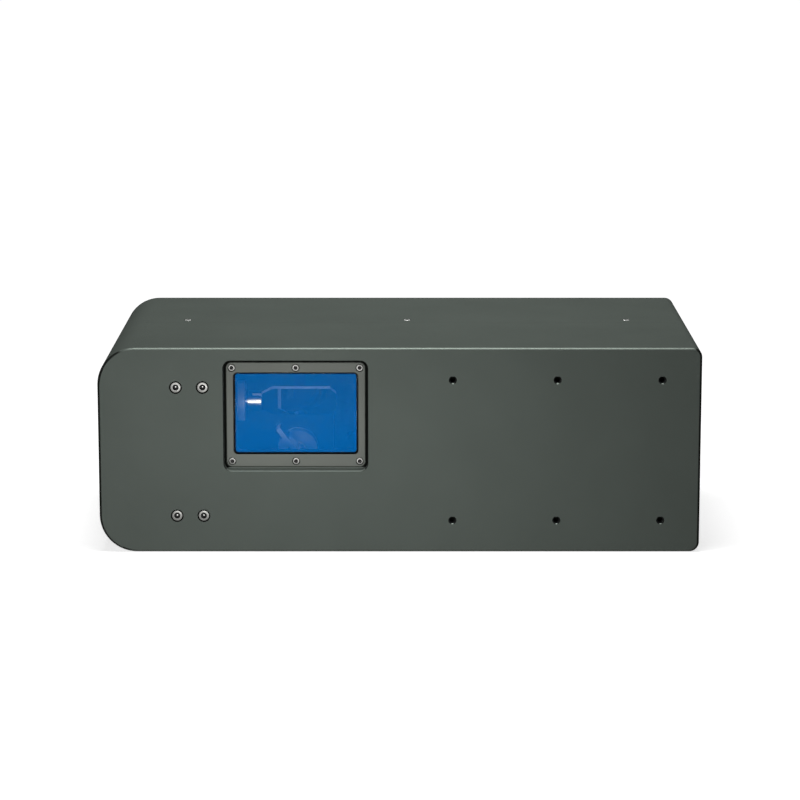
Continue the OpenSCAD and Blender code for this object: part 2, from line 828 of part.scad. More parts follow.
module at_first_motor() translate([first_x, from_front(first_nose_y), beam_z]) rotate([90, 0, 0])
    children();
module at_second_motor() translate([second_nose_x, from_front(beam_y), second_z]) rotate([0, 90, 0])
    children();

module motor_housing() difference() {
    union() {
        translate([0, 0, body_top - 2]) cylinder(d = nose_d, h = nose_l + 2);
        translate([0, 0, body_bottom]) cylinder(d = motor_d, h = motor_l);
    }
    translate([0, 0, -bearing_sink]) cylinder(d = bearing_d, h = bearing_sink + 1);
    translate([0, 0, body_bottom - 1]) cylinder(d = shaft_d + 2 * shaft_clear, h = motor_l + nose_l + 2);
    translate([0, 0, -bearing_sink - bearing_h]) cylinder(d = bearing_d + 2 * seat_gap, h = bearing_h + 1);
    translate([0, 0, body_bottom - 1]) cylinder(d = bearing_d + 2 * seat_gap, h = bearing_h + 1);
    translate([0, 0, body_bottom + bore_back]) cylinder(d = bore_d, h = bore_l);
}

module motor_winding() translate([0, 0, body_bottom + bore_back + winding_end])
    ring(bore_d - 2 * seat_gap, bore_d - 2 * winding_t, bore_l - 2 * winding_end);

module motor_bearings() for (z = [-bearing_sink - bearing_h, body_bottom])
    translate([0, 0, z]) ring(bearing_d, shaft_d + 2 * running_gap, bearing_h);

module motor_sensor() translate([0, 0, body_bottom - sensor_l]) difference() {
    cylinder(d = motor_d - 2 * sensor_step, h = sensor_l - seat_gap);
    translate([0, 0, sensor_wall]) cylinder(d = motor_d - 2 * sensor_step - 2 * sensor_wall, h = sensor_l);
}

// Shaft, magnet and the sensor's vane
module rotor() {
    shaft_bottom = body_bottom - sensor_l + shaft_back;
    translate([0, 0, shaft_bottom])
        cylinder(d = shaft_d, h = clamp_gap + clamp_socket - seat_gap - shaft_bottom);
    translate([0, 0, body_bottom + bore_back + magnet_end])
        cylinder(d = bore_d - 2 * winding_t - 2 * air_gap, h = bore_l - 2 * magnet_end);
    translate([0, 0, shaft_bottom]) intersection() {
        cylinder(d = vane_d, h = vane_t);
        translate([-motor_d, -vane_w / 2, 0]) cube([2 * motor_d, vane_w, vane_t + 1]);
    }
}

clamp_screw_d = 1.6;
clamp_screw_u = 3.4;
clamp_screw_z = 6;
tip_ratio = 0.53;

// Clamp on the shaft, slotted for a mirror of thickness t whose middle plane is at v = offset
module mirror_clamp(t, offset) difference() {
    slot_t = t + 2 * seat_gap;
    translate([0, 0, clamp_gap]) cylinder(d = clamp_d, h = clamp_l);
    translate([0, 0, clamp_gap - 1]) cylinder(d = shaft_d + 2 * seat_gap, h = clamp_socket + 1);
    translate([-clamp_d, offset - slot_t / 2, clamp_gap + clamp_socket]) cube([2 * clamp_d, slot_t, clamp_l]);
    for (u = [-1, 1]) translate([u * clamp_screw_u, offset, clamp_gap + clamp_screw_z]) rotate([90, 0, 0])
        cylinder(d = clamp_screw_d + 2 * thread_gap, h = clamp_d);
}

// Two small screws through the back of the clamp, up to the mirror
module clamp_screws(t, offset) {
    back = sqrt(pow(clamp_d / 2, 2) - pow(clamp_screw_u + clamp_screw_d / 2, 2));
    tip = offset - t / 2 - seat_gap;
    for (u = [-1, 1]) translate([u * clamp_screw_u, tip, clamp_gap + clamp_screw_z]) rotate([90, 0, 0])
        cylinder(d = clamp_screw_d, h = tip + back);
}

// Mirror plate in the plane of its shaft: neck, shoulders, straight edges and cut corners
module mirror_plate(w, t, straight, shoulder_l, shoulder_w, neck_top) {
    first = neck_top + shoulder_l;
    tip = first + straight + shoulder_l * tip_ratio;
    half = w / 2;
    neck_bottom = clamp_gap + clamp_socket + neck_gap;
    rotate([90, 0, 0]) linear_extrude(t, center = true) polygon([
        [-clamp_neck_w / 2, neck_bottom],
        [clamp_neck_w / 2, neck_bottom],
        [clamp_neck_w / 2, neck_top],
        [half - shoulder_w, neck_top],
        [half, first],
        [half, first + straight],
        [half - shoulder_w, tip],
        [-half + shoulder_w, tip],
        [-half, first + straight],
        [-half, first],
        [-half + shoulder_w, neck_top],
        [-clamp_neck_w / 2, neck_top]
    ]);
}

mirror_neck_z = clamp_gap + clamp_l + neck_gap;

// The first mirror's plane is turned about its shaft by its tilt
module turn_first() rotate([0, 0, -first_tilt]) children();
// The second mirror looks down and forward at 45 degrees
module turn_second() rotate([0, 0, -135]) children();

module first_motor() color("#8f9391") at_first_motor() motor_housing();
module first_motor_winding() color("#b06a32") at_first_motor() motor_winding();
module first_motor_bearings() color("#c8c8c4") at_first_motor() motor_bearings();
module first_motor_sensor() color("#2a2a2c") at_first_motor() motor_sensor();
module first_rotor() color("#c8c8c4") at_first_motor() rotor();
module first_mirror_clamp() color("#b9bcba") at_first_motor() turn_first()
    mirror_clamp(first_mirror_t, first_offset);
module first_clamp_screws() color("#8d9290") at_first_motor() turn_first()
    clamp_screws(first_mirror_t, first_offset);
module first_mirror() color("#aab4b8") at_first_motor() turn_first() translate([0, first_offset, 0])
    mirror_plate(first_mirror_w, first_mirror_t, first_mirror_l - 2 * first_shoulder_l,
        first_shoulder_l, first_shoulder_w, mirror_neck_z);

module second_motor() color("#8f9391") at_second_motor() motor_housing();
module second_motor_winding() color("#b06a32") at_second_motor() motor_winding();
module second_motor_bearings() color("#c8c8c4") at_second_motor() motor_bearings();
module second_motor_sensor() color("#2a2a2c") at_second_motor() motor_sensor();
module second_rotor() color("#c8c8c4") at_second_motor() rotor();
module second_mirror_clamp() color("#b9bcba") at_second_motor() turn_second()
    mirror_clamp(second_mirror_t, 0);
module second_clamp_screws() color("#8d9290") at_second_motor() turn_second()
    clamp_screws(second_mirror_t, 0);
module second_mirror() color("#aab4b8") at_second_motor() turn_second()
    mirror_plate(second_mirror_w, second_mirror_t, second_mirror_l,
        second_taper_l, second_taper_w, mirror_neck_z);

// ---------- focus unit ----------

// Places children on the beam axis with +Z along +X
module on_beam(x) translate([x, from_front(beam_y), beam_z]) rotate([0, 90, 0]) children();

// The four screws of the focus base, standing on the floor's drill depth
module floor_screws()
    for (x = [base_x0 + base_screw_inset, base_x0 + base_l - base_screw_inset], y = [-1, 1])
        translate([x, from_front(beam_y) + y * (base_w / 2 - base_screw_inset), wall - floor_hole])
            children();

module focus_base() color("#8d9290") difference() {
    translate([base_x0, from_front(beam_y) - base_w / 2, wall + seat_gap]) cube([base_l, base_w, base_t]);
    floor_screws() cylinder(d = m4_clear_d, h = wall + base_t);
    at_yoke_screws() translate([0, 0, -base_hole]) cylinder(d = m4_d + 2 * thread_gap, h = base_t);
    at_rail_screws() translate([0, 0, -base_hole]) cylinder(d = m3_d + 2 * thread_gap, h = base_t);
}

module focus_base_screws() color("#d0d0cc") floor_screws()
    translate([0, 0, base_top + seat_gap - wall + floor_hole]) m4_screw(base_screw_l);

rail_x0 = focus_x - rail_lead;

// The rail's screws; z = 0 is the top of the base
module at_rail_screws() for (x = [0.15, 0.5, 0.85])
    translate([rail_x0 + x * rail_l, from_front(beam_y), base_top]) children();

module focus_rail() color("#c8c8c4") difference() {
    translate([rail_x0, from_front(beam_y) - rail_w / 2, base_top + seat_gap]) cube([rail_l, rail_w, rail_h]);
    at_rail_screws() cylinder(d = m3_clear_d, h = rail_h + 1);
    at_rail_screws() translate([0, 0, rail_h - rail_screw_sink])
        cylinder(d = m3_head_d + 2 * fit_gap, h = rail_screw_sink + 1);
}

module focus_rail_screws() color("#d0d0cc") at_rail_screws()
    translate([0, 0, rail_h - rail_screw_sink + seat_gap]) m3_screw(rail_screw_l);

carriage_x0 = focus_x - carriage_lead;
carriage_z0 = base_top + carriage_lift;
carriage_top = base_top + rail_h + saddle_t;

module focus_carriage() color("#2f3130") difference() {
    union() {
        translate([carriage_x0, from_front(beam_y) - carriage_w / 2, carriage_z0])
            cube([carriage_l, carriage_w, carriage_top - carriage_z0]);
        translate([focus_x - ring_t / 2, from_front(beam_y) - carriage_w / 2, carriage_z0])
            cube([ring_t, carriage_w, beam_z - carriage_z0]);
        on_beam(focus_x - ring_t / 2) cylinder(d = cell_d + 2 * ring_wall, h = ring_t);
    }
    rail_clear = 0.3;
    translate([carriage_x0 - 1, from_front(beam_y) - rail_w / 2 - rail_clear, 0])
        cube([carriage_l + 2, rail_w + 2 * rail_clear, base_top + seat_gap + rail_h + rail_clear]);
    on_beam(focus_x - ring_t) cylinder(d = cell_d + 2 * fit_gap, h = 2 * ring_t);
}

module focus_lens_cell() color("#8d9290") on_beam(focus_x - ring_t / 2 - cell_flange_t) difference() {
    union() {
        cylinder(d = cell_d + 2 * cell_flange_w, h = cell_flange_t - seat_gap);
        cylinder(d = cell_d, h = ring_t + cell_flange_t);
    }
    translate([0, 0, cell_flange_t + cell_ledge]) cylinder(d = focus_lens_d + 2 * seat_gap, h = ring_t);
    translate([0, 0, -1]) cylinder(d = focus_lens_d - 2 * cell_ledge, h = ring_t);
}

// Plano-concave lens that spreads the beam
module focus_lens() color("#bcd6e0", 0.4) on_beam(focus_x - ring_t / 2 + cell_ledge + seat_gap)
    rotate_extrude() difference() {
        square([focus_lens_d / 2, focus_lens_t]);
        translate([0, focus_lens_curve + focus_lens_mid]) circle(r = focus_lens_curve, $fn = 180);
    }

// Winding on a thin former that reaches into the iron cup
module focus_coil() color("#b06a32") on_beam(focus_x + ring_t / 2 + seat_gap) difference() {
    former_r = pole_r + former_gap;
    union() {
        cylinder(r = former_r + former_t, h = coil_l);
        cylinder(d = cell_d + 2 * ring_wall, h = former_plate);
        translate([0, 0, coil_l - coil_w]) cylinder(r = former_r + former_t + coil_t, h = coil_w);
    }
    translate([0, 0, former_plate]) cylinder(r = former_r, h = coil_l);
    translate([0, 0, -1]) cylinder(d = focus_lens_d, h = former_plate + 2);
}

module focus_yoke() color("#6a6d6c") difference() {
    union() {
        on_beam(yoke_x) difference() {
            cylinder(d = yoke_d, h = yoke_l);
            translate([0, 0, -1]) cylinder(r = yoke_d / 2 - yoke_wall, h = yoke_l - yoke_floor + 1);
        }
        on_beam(yoke_x + pole_inset) cylinder(r = pole_r, h = yoke_l - pole_inset);
        difference() {
            yoke_foot(yoke_foot_w, yoke_foot_h);
            on_beam(yoke_x) cylinder(d = yoke_d - 2, h = yoke_l + 1);
        }
        yoke_foot(yoke_foot_w + 2 * yoke_ear_w - 2, yoke_ear_h);
    }
    on_beam(yoke_x - 1) cylinder(r = pole_bore_r, h = yoke_l + 2);
    at_yoke_screws() translate([0, 0, -1]) cylinder(d = m4_clear_d, h = yoke_ear_h + 2);
}

// Block under the iron cup, of width w and height h
module yoke_foot(w, h)
    translate([yoke_x + yoke_l - yoke_foot_l, from_front(beam_y) - w / 2, base_top + seat_gap])
        cube([yoke_foot_l, w, h]);

// The two screws of the iron cup's foot; z = 0 is the top of the base
module at_yoke_screws() for (y = [-1, 1])
    translate([yoke_x + yoke_l - yoke_foot_l / 2, from_front(beam_y) + y * (yoke_foot_w + yoke_ear_w + 1) / 2,
        base_top]) children();

module focus_yoke_screws() color("#d0d0cc") at_yoke_screws()
    translate([0, 0, yoke_ear_h + 2 * seat_gap]) m4_screw(yoke_ear_h + base_hole - hole_floor);

module focus_magnet() color("#b4b6b4") on_beam(yoke_x + magnet_inset)
    ring(yoke_d - 2 * yoke_wall - 2 * seat_gap, 2 * magnet_r, magnet_l);

// Rubber bumpers in front of and behind the carriage
module focus_stops() color("#1a1a1a") {
    reach = focus_travel + stop_gap;
    for (x = [carriage_x0 - reach - stop_t, carriage_x0 + carriage_l + reach], y = [-stop_y, stop_y])
        translate([x, from_front(beam_y) + y - stop_w / 2, base_top + seat_gap])
            cube([stop_t, stop_w, stop_h]);
}

// ---------- objective ----------

ring_w = 4;

module objective_barrel() color("#2f3130") on_beam(objective_x) difference() {
    union() {
        cylinder(r = barrel_r, h = objective_l);
        cylinder(r = barrel_r + barrel_lip, h = barrel_lip_l);
    }
    translate([0, 0, -1]) cylinder(r = lens_seat_r, h = objective_l + 2);
    translate([0, 0, -1]) cylinder(r = barrel_bore_r, h = lens_seat + 1);
    translate([0, 0, rear_seat]) cylinder(r = barrel_bore_r, h = objective_l);
}

// Biconvex lens with its first crown at z = 0
module convex_lens(r, curve_r, edge_t) rotate_extrude() intersection() {
    sag = curve_r - sqrt(curve_r * curve_r - r * r);
    square([r, edge_t + 2 * sag]);
    translate([0, curve_r]) circle(r = curve_r, $fn = 360);
    translate([0, edge_t + 2 * sag - curve_r]) circle(r = curve_r, $fn = 360);
}

lens_r = barrel_bore_r - fit_gap;
lens_curve = 80;
lens_edge = 3;
lens_seat = 17;
lens_seat_r = barrel_bore_r - 2;
lens_ring_r = lens_r - 3;

// Height of a lens crown over the circle of radius r
function crown(r) = lens_curve - sqrt(lens_curve * lens_curve - r * r);

// How far the crown reaches past the lens's edge where it meets the seat and the ring
seat_reach = crown(lens_r) - crown(lens_seat_r) + seat_gap;
ring_reach = crown(lens_r) - crown(lens_ring_r) + seat_gap;
rear_seat = objective_l - 24;

module objective_lenses() color("#bcd6e0", 0.4) {
    on_beam(objective_x + lens_seat - seat_reach - lens_edge - crown(lens_r))
        convex_lens(lens_r, lens_curve, lens_edge);
    on_beam(objective_x + rear_seat + seat_reach - crown(lens_r)) convex_lens(lens_r, lens_curve, lens_edge);
}

// Threaded rings that hold each lens against its seat
module objective_rings() color("#2a2a2c") {
    on_beam(objective_x + lens_seat - seat_reach - lens_edge - ring_reach - ring_w)
        ring(2 * lens_r, 2 * lens_ring_r, ring_w);
    on_beam(objective_x + rear_seat + seat_reach + lens_edge + ring_reach)
        ring(2 * lens_r, 2 * lens_ring_r, ring_w);
}

cradle_x = objective_x + cradle_lead;
cradle_w = barrel_d + 2 * cradle_side;

module at_strap_screws() for (y = [-1, 1])
    translate([cradle_x + cradle_l / 2, from_front(beam_y) + y * (cradle_w / 2 - strap_screw_in), 0])
        children();

module cradle_half(z0, z1) difference() {
    translate([cradle_x, from_front(beam_y) - cradle_w / 2, z0]) cube([cradle_l, cradle_w, z1 - z0]);
    on_beam(cradle_x - 1) cylinder(r = barrel_r + fit_gap, h = cradle_l + 2);
}

// The four screws of the cradle's feet; z = 0 is the bottom of the housing
module at_cradle_screws() for (x = [-cradle_foot_l / 2, cradle_l + cradle_foot_l / 2], y = [-1, 1])
    translate([cradle_x + x, from_front(beam_y) + y * (cradle_w / 2 - cradle_screw_in), 0]) children();

module objective_cradle() color("#8d9290") difference() {
    union() {
        cradle_half(wall + seat_gap, beam_z - split_gap);
        translate([cradle_x - cradle_foot_l, from_front(beam_y) - cradle_w / 2, wall + seat_gap])
            cube([cradle_l + 2 * cradle_foot_l, cradle_w, base_t]);
    }
    at_cradle_screws() cylinder(d = m4_clear_d, h = base_top + 1);
    at_strap_screws() translate([0, 0, beam_z - strap_hole])
        cylinder(d = m4_d + 2 * thread_gap, h = strap_hole);
}

module objective_strap() color("#8d9290") difference() {
    cradle_half(beam_z + split_gap, beam_z + barrel_r + strap_t);
    at_strap_screws() translate([0, 0, beam_z]) cylinder(d = m4_clear_d, h = barrel_d);
    at_strap_screws() translate([0, 0, beam_z + strap_screw_z]) cylinder(d = m4_counterbore_d, h = barrel_d);
}

module objective_screws() color("#d0d0cc") {
    at_strap_screws() translate([0, 0, beam_z + strap_screw_z + seat_gap]) m4_screw(strap_screw_l);
    at_cradle_screws() translate([0, 0, base_top + seat_gap]) m4_screw(base_screw_l);
}

// ---------- electronics ----------

function board_x(i) = first_board_x + i * (board_w + board_gap);

// Places children at the four holes of each driver board
module board_hole_positions() for (i = [0, 1, 2])
    at_corners(board_x(i), board_z, board_w - 2 * hole_inset, board_h - 2 * hole_inset) children();

// Driver board with its parts facing the window side
module driver_board(i, fins) color("#1f5c3a") translate([board_x(i), from_front(board_y), board_z]) {
    difference() {
        translate([-board_w / 2, 0, -board_h / 2]) cube([board_w, board_t, board_h]);
        for (x = [-1, 1], z = [-1, 1])
            translate([x * (board_w / 2 - hole_inset), -1, z * (board_h / 2 - hole_inset)])
                rotate([-90, 0, 0]) cylinder(d = m3_clear_d, h = board_t + 2);
    }
    translate([-heatsink_w / 2, -heatsink_t, heatsink_z]) cube([heatsink_w, heatsink_t, heatsink_h]);
    for (k = [0:fins - 1])
        translate([(k / (fins - 1) - 0.5) * (heatsink_w - fin_t), -heatsink_t - fin_l, heatsink_z])
            translate([-fin_t / 2, 0, 0]) cube([fin_t, fin_l + 1, heatsink_h]);
    translate([chip_x, -chip_t, chip_z]) cube([chip_l, chip_t, chip_l]);
    translate([relay_x, -2 * chip_t, chip_z]) cube([relay_w, 2 * chip_t, relay_w]);
    for (k = [-1:1]) translate([k * capacitor_pitch, 0, capacitor_z]) rotate([90, 0, 0])
        cylinder(d = capacitor_d, h = capacitor_l);
    translate([-header_l / 2, -header_h, header_w / 3 - board_h / 2]) cube([header_l, header_h, header_w]);
}

module first_driver_board() driver_board(0, 9);
module second_driver_board() driver_board(1, 9);
module focus_driver_board() driver_board(2, 7);

// Board that joins the two connectors to the drivers
module interface_board() color("#1f5c3a") difference() {
    union() {
        translate([io_board_x - board_t, from_front(io_y), board_z - board_h / 2])
            cube([board_t, io_w, board_h]);
        translate([io_board_x - board_t - header_h, from_front(io_y + header_w), board_z - header_l / 2])
            cube([header_h, header_w, header_l]);
        translate([io_board_x - board_t - chip_t, from_front(signal_y) - chip_l / 2, board_z])
            cube([chip_t, chip_l, chip_l]);
    }
    at_io_holes() translate([-board_t - 1, 0, 0]) rotate([0, 90, 0])
        cylinder(d = m3_clear_d, h = board_t + 2);
}

// Hex standoff: tapped at z = 0 and with a stud beyond z = l
module hex_post(l) difference() {
    union() {
        cylinder(d = post_key / cos(30), h = l, $fn = 6);
        translate([0, 0, l - 1]) cylinder(d = m3_d, h = 1 + stud_l);
    }
    translate([0, 0, -1]) cylinder(d = m3_d + 2 * thread_gap, h = board_screw_bite + 3);
}

io_post_l = body_x1 - connector_wall - io_board_x - 2 * seat_gap;

module at_io_holes() for (y = [hole_inset, io_w - hole_inset], z = [-1, 1])
    translate([io_board_x, from_front(io_y + y), board_z + z * (board_h / 2 - hole_inset)]) children();

module board_standoffs() color("#c9b36a") {
    board_hole_positions() translate([0, from_front(board_y + board_t + seat_gap), 0])
        rotate([-90, 0, 0]) hex_post(standoff_l);
    at_io_holes() translate([seat_gap, 0, 0]) rotate([0, 90, 0]) hex_post(io_post_l);
}

module board_screws() color("#d0d0cc") {
    board_hole_positions() translate([0, from_front(board_y - seat_gap), 0]) rotate([90, 0, 0])
        m3_screw(board_t + board_screw_bite);
    at_io_holes() translate([-board_t - seat_gap, 0, 0]) rotate([0, -90, 0])
        m3_screw(board_t + board_screw_bite);
}

// ---------- connectors ----------

// Keystone outline of the 25-way shell, long side along Z
module dsub_outline(grow) {
    half_a = dsub_long / 2 + grow;
    half_b = dsub_short / 2 + grow;
    half_h = dsub_shell_h / 2 + grow;
    polygon([[-half_h, -half_a], [half_h, -half_b], [half_h, half_b], [-half_h, half_a]]);
}

module at_signal() translate([body_x1 - connector_wall - seat_gap, from_front(signal_y), signal_z])
    rotate([90, 0, 90]) children();

module signal_connector() color("#c8c8c4") at_signal() difference() {
    union() {
        translate([-dsub_flange_h / 2, -dsub_flange_w / 2, -dsub_flange_t])
            cube([dsub_flange_h, dsub_flange_w, dsub_flange_t]);
        translate([0, 0, -dsub_flange_t / 2])
            linear_extrude(dsub_shell_l + dsub_flange_t / 2) dsub_outline(0);
        translate([-dsub_body_h / 2, -dsub_body_w / 2, 1 - io_post_l])
            cube([dsub_body_h, dsub_body_w, io_post_l - 1 - dsub_flange_t / 2]);
    }
    for (k = [-0.5, 0.5]) translate([0, k * dsub_pitch, -dsub_flange_t - 1])
        cylinder(d = jack_d + 2 * fit_gap, h = dsub_flange_t + 2);
    for (k = [0:12]) translate([-pin_row, (k - 6) * pin_pitch, dsub_shell_l - pin_l + 1])
        cylinder(d = pin_d, h = pin_l);
    for (k = [0:11]) translate([pin_row, (k - 5.5) * pin_pitch, dsub_shell_l - pin_l + 1])
        cylinder(d = pin_d, h = pin_l);
}

module signal_jackscrews() color("#d0d0cc") at_signal() for (k = [-0.5, 0.5])
    translate([0, k * dsub_pitch, seat_gap]) difference() {
        union() {
            cylinder(d = jack_key / cos(30), h = jack_l, $fn = 6);
            translate([0, 0, -jack_stud_l]) cylinder(d = jack_d, h = jack_stud_l + 1);
        }
        translate([0, 0, jack_l * 0.3]) cylinder(d = jack_hole_d, h = jack_l);
    }

module power_connector() color("#c8c8c4")
    translate([body_x1 - connector_wall, from_front(signal_y), power_z]) rotate([0, 90, 0]) {
        difference() {
            union() {
                translate([0, 0, -power_back_l]) cylinder(d = power_d - power_wall, h = power_back_l + 1);
                cylinder(d = power_d, h = connector_wall - power_low);
                translate([0, 0, -power_nut_t])
                    cylinder(d = power_nut / cos(30), h = power_nut_t - seat_gap, $fn = 6);
            }
            translate([0, 0, 1]) cylinder(d = power_d - 2 * power_wall, h = connector_wall);
        }
        for (a = [45:90:315]) rotate([0, 0, a]) translate([power_pin_r, 0, 0])
            cylinder(d = power_pin_d, h = power_pin_l);
    }

front_shell();
back_shell();
shell_seal();
seam_screws();
window_frame();
window_frame_screws();
window_glass();
window_film();
window_gasket();
beam_port_ring();
beam_port_glass();
beam_port_oring();
galvo_block();
galvo_block_screws();
block_dowels();
motor_set_screws();
first_motor();
first_motor_winding();
first_motor_bearings();
first_motor_sensor();
first_rotor();
first_mirror_clamp();
first_clamp_screws();
first_mirror();
second_motor();
second_motor_winding();
second_motor_bearings();
second_motor_sensor();
second_rotor();
second_mirror_clamp();
second_clamp_screws();
second_mirror();
focus_base();
focus_base_screws();
focus_rail();
focus_rail_screws();
focus_stops();
focus_yoke();
focus_yoke_screws();
focus_magnet();
focus_carriage();
focus_coil();
focus_lens_cell();
focus_lens();
objective_barrel();
objective_lenses();
objective_rings();
objective_cradle();
objective_strap();
objective_screws();
first_driver_board();
second_driver_board();
focus_driver_board();
interface_board();
board_standoffs();
board_screws();
signal_connector();
signal_jackscrews();
power_connector();
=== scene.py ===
"""Finishes, fasteners, connector details and studio for a three-axis galvo scanner head.

Run as a script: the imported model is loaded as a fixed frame, each piece is made by its own
operator, and the panel in the 3D view's sidebar lists them.
"""

import json
import math

import bmesh
import bpy
from mathutils import Matrix, Vector


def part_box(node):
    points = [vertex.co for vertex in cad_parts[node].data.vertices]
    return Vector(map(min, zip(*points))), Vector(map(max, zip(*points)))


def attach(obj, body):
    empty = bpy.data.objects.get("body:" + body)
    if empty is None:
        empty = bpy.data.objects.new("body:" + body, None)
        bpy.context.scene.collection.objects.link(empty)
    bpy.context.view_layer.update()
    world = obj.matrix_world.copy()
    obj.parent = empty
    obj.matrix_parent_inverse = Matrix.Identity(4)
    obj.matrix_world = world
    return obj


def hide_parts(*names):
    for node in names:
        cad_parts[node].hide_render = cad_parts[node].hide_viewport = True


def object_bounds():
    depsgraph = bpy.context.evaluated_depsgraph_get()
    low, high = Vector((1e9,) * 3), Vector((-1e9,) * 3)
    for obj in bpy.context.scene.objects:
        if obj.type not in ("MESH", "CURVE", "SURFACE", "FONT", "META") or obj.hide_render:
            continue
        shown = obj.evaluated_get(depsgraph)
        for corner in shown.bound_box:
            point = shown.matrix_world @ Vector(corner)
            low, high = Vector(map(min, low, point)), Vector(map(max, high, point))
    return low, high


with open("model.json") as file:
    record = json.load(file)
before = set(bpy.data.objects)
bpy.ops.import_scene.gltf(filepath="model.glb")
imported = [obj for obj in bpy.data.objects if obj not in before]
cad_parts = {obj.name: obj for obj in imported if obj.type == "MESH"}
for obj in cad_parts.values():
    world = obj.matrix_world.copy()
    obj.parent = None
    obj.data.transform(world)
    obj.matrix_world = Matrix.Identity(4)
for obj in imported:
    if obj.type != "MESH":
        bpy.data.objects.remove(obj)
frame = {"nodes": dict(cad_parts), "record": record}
CAD_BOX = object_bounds()

bl_info = {
    "name": "Scanner Head Finishes",
    "version": (1, 0, 0),
    "blender": (4, 5, 0),
    "location": "View3D > Sidebar > Scanner Head",
    "description": "Finishes, fasteners and studio for a galvo scanner head",
    "category": "Object",
}

MM = 0.001
TAU = 2 * math.pi
NODES = frame["nodes"]
# Painted shade: near black for hollows, and for the edges that turn from the face to the ends
HOLLOW_PAINTED_SHADE = (0.006, 0.007, 0.006)
EDGE_PAINTED_SHADE = (0.008, 0.009, 0.008)
ANODISED_BLACK = (0.012, 0.013, 0.013)
BLACK_PLASTIC = (0.012, 0.012, 0.012)


# ---------- sizes that come from the frame ----------

def centre(name):
    low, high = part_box(name)
    return (low + high) / 2


FACE_Y = CAD_BOX[0].y
END_X = CAD_BOX[1].x
MID_Z = (CAD_BOX[0].z + CAD_BOX[1].z) / 2

# The six tapped holes on the face: middle column, distances between columns and rows, and bore
GRID_X = END_X - 91.9 * MM
GRID_PITCH_X = 66.7 * MM
GRID_PITCH_Z = 91.4 * MM
GRID_HOLE_D = 4.2 * MM


# ---------- node helpers ----------

class Finish:
    """A material with one Principled shader and short calls that add nodes to it."""

    def __init__(self, name, colour, metallic, roughness, specular=0.5):
        self.material = bpy.data.materials.new(name)
        self.material.use_nodes = True
        self.tree = self.material.node_tree
        self.shader = next(n for n in self.tree.nodes if n.type == "BSDF_PRINCIPLED")
        self.colour = tuple(colour)
        self.set(base_color=(*colour, 1), metallic=metallic, roughness=roughness,
                 specular_ior_level=specular)
        self.coordinates = self.add("ShaderNodeTexCoord")
        self.place = self.coordinates.outputs["Object"]

    def set(self, **values):
        """Sets the shader's own sockets to plain values."""
        names = {"specular_ior_level": "Specular IOR Level"}
        for key, value in values.items():
            self.shader.inputs[names.get(key, key.replace("_", " ").title())].default_value = value

    def add(self, kind, settings=None, **values):
        """Adds a node; values go to its inputs by name and may be sockets or numbers."""
        node = self.tree.nodes.new(kind)
        for key, value in (settings or {}).items():
            setattr(node, key, value)
        for key, value in values.items():
            self.feed(node.inputs[key.replace("_", " ").title()], value)
        return node

    def feed(self, socket, value):
        if isinstance(value, bpy.types.NodeSocket):
            self.tree.links.new(value, socket)
        else:
            socket.default_value = value

    def to(self, name, value):
        self.feed(self.shader.inputs[name], value)

    def noise(self, scale, detail=2.0, roughness=0.5):
        return self.add("ShaderNodeTexNoise", None, vector=self.place, scale=scale, detail=detail,
                        roughness=roughness).outputs["Fac"]

    def spread(self, value, low, high, from_low=0.3, from_high=0.7):
        """Takes a value from the range from_low...from_high to low...high, cut off at both ends."""
        node = self.add("ShaderNodeMapRange", None, value=value)
        node.inputs["From Min"].default_value = from_low
        node.inputs["From Max"].default_value = from_high
        node.inputs["To Min"].default_value = low
        node.inputs["To Max"].default_value = high
        return node.outputs["Result"]

    def mix(self, factor, first, second):
        node = self.add("ShaderNodeMix", {"data_type": "RGBA"})
        self.feed(node.inputs["Factor"], factor)
        self.feed(node.inputs[6], first if isinstance(first, bpy.types.NodeSocket) else (*first, 1))
        self.feed(node.inputs[7], second if isinstance(second, bpy.types.NodeSocket) else (*second, 1))
        return node.outputs[2]

    def math(self, operation, first, second=0.0):
        node = self.add("ShaderNodeMath", {"operation": operation})
        self.feed(node.inputs[0], first)
        self.feed(node.inputs[1], second)
        return node.outputs[0]

    def vector_math(self, operation, first, second=(0, 0, 0)):
        node = self.add("ShaderNodeVectorMath", {"operation": operation})
        self.feed(node.inputs[0], first)
        self.feed(node.inputs[1], second)
        return node

    def bump(self, height, depth):
        return self.add("ShaderNodeBump", None, height=height, distance=depth).outputs["Normal"]

    def plain_colour(self):
        """The socket that feeds the base colour."""
        return self.shader.inputs["Base Color"].links[0].from_socket

    def within(self, low, high, soft):
        """1 inside a box, falling to 0 at its faces over a soft distance."""
        from_low = self.vector_math("SUBTRACT", self.place, tuple(low)).outputs[0]
        from_high = self.vector_math("SUBTRACT", tuple(high), self.place).outputs[0]
        nearest = self.vector_math("MINIMUM", from_low, from_high).outputs[0]
        parts = self.add("ShaderNodeSeparateXYZ", None, vector=nearest)
        depth = self.math("MINIMUM", parts.outputs["X"], parts.outputs["Y"])
        depth = self.math("MINIMUM", depth, parts.outputs["Z"])
        return self.spread(depth, 0, 1, 0, soft)

    def grain(self, size, depth, mottle=0.06, patch=0.03, shift=0.05):
        """Fine grain of a given size, with soft patches that are lighter, darker, rougher or smoother."""
        patches = self.noise(1 / patch, 3.0)
        dark = tuple(c * (1 - mottle) for c in self.colour)
        light = tuple(min(1, c * (1 + mottle)) for c in self.colour)
        self.to("Base Color", self.mix(self.spread(patches, 0, 1), dark, light))
        level = self.shader.inputs["Roughness"].default_value
        fine = self.noise(1 / size, 2.0, 0.6)
        self.to("Roughness", self.spread(fine, max(0.02, level - shift), min(1, level + shift)))
        self.to("Normal", self.bump(fine, depth))
        return self


def dress(finish, *names):
    """Gives CAD nodes a finish; each node keeps the slot that the record gives it."""
    for name in names:
        for slot in NODES[name].material_slots:
            slot.material = finish.material


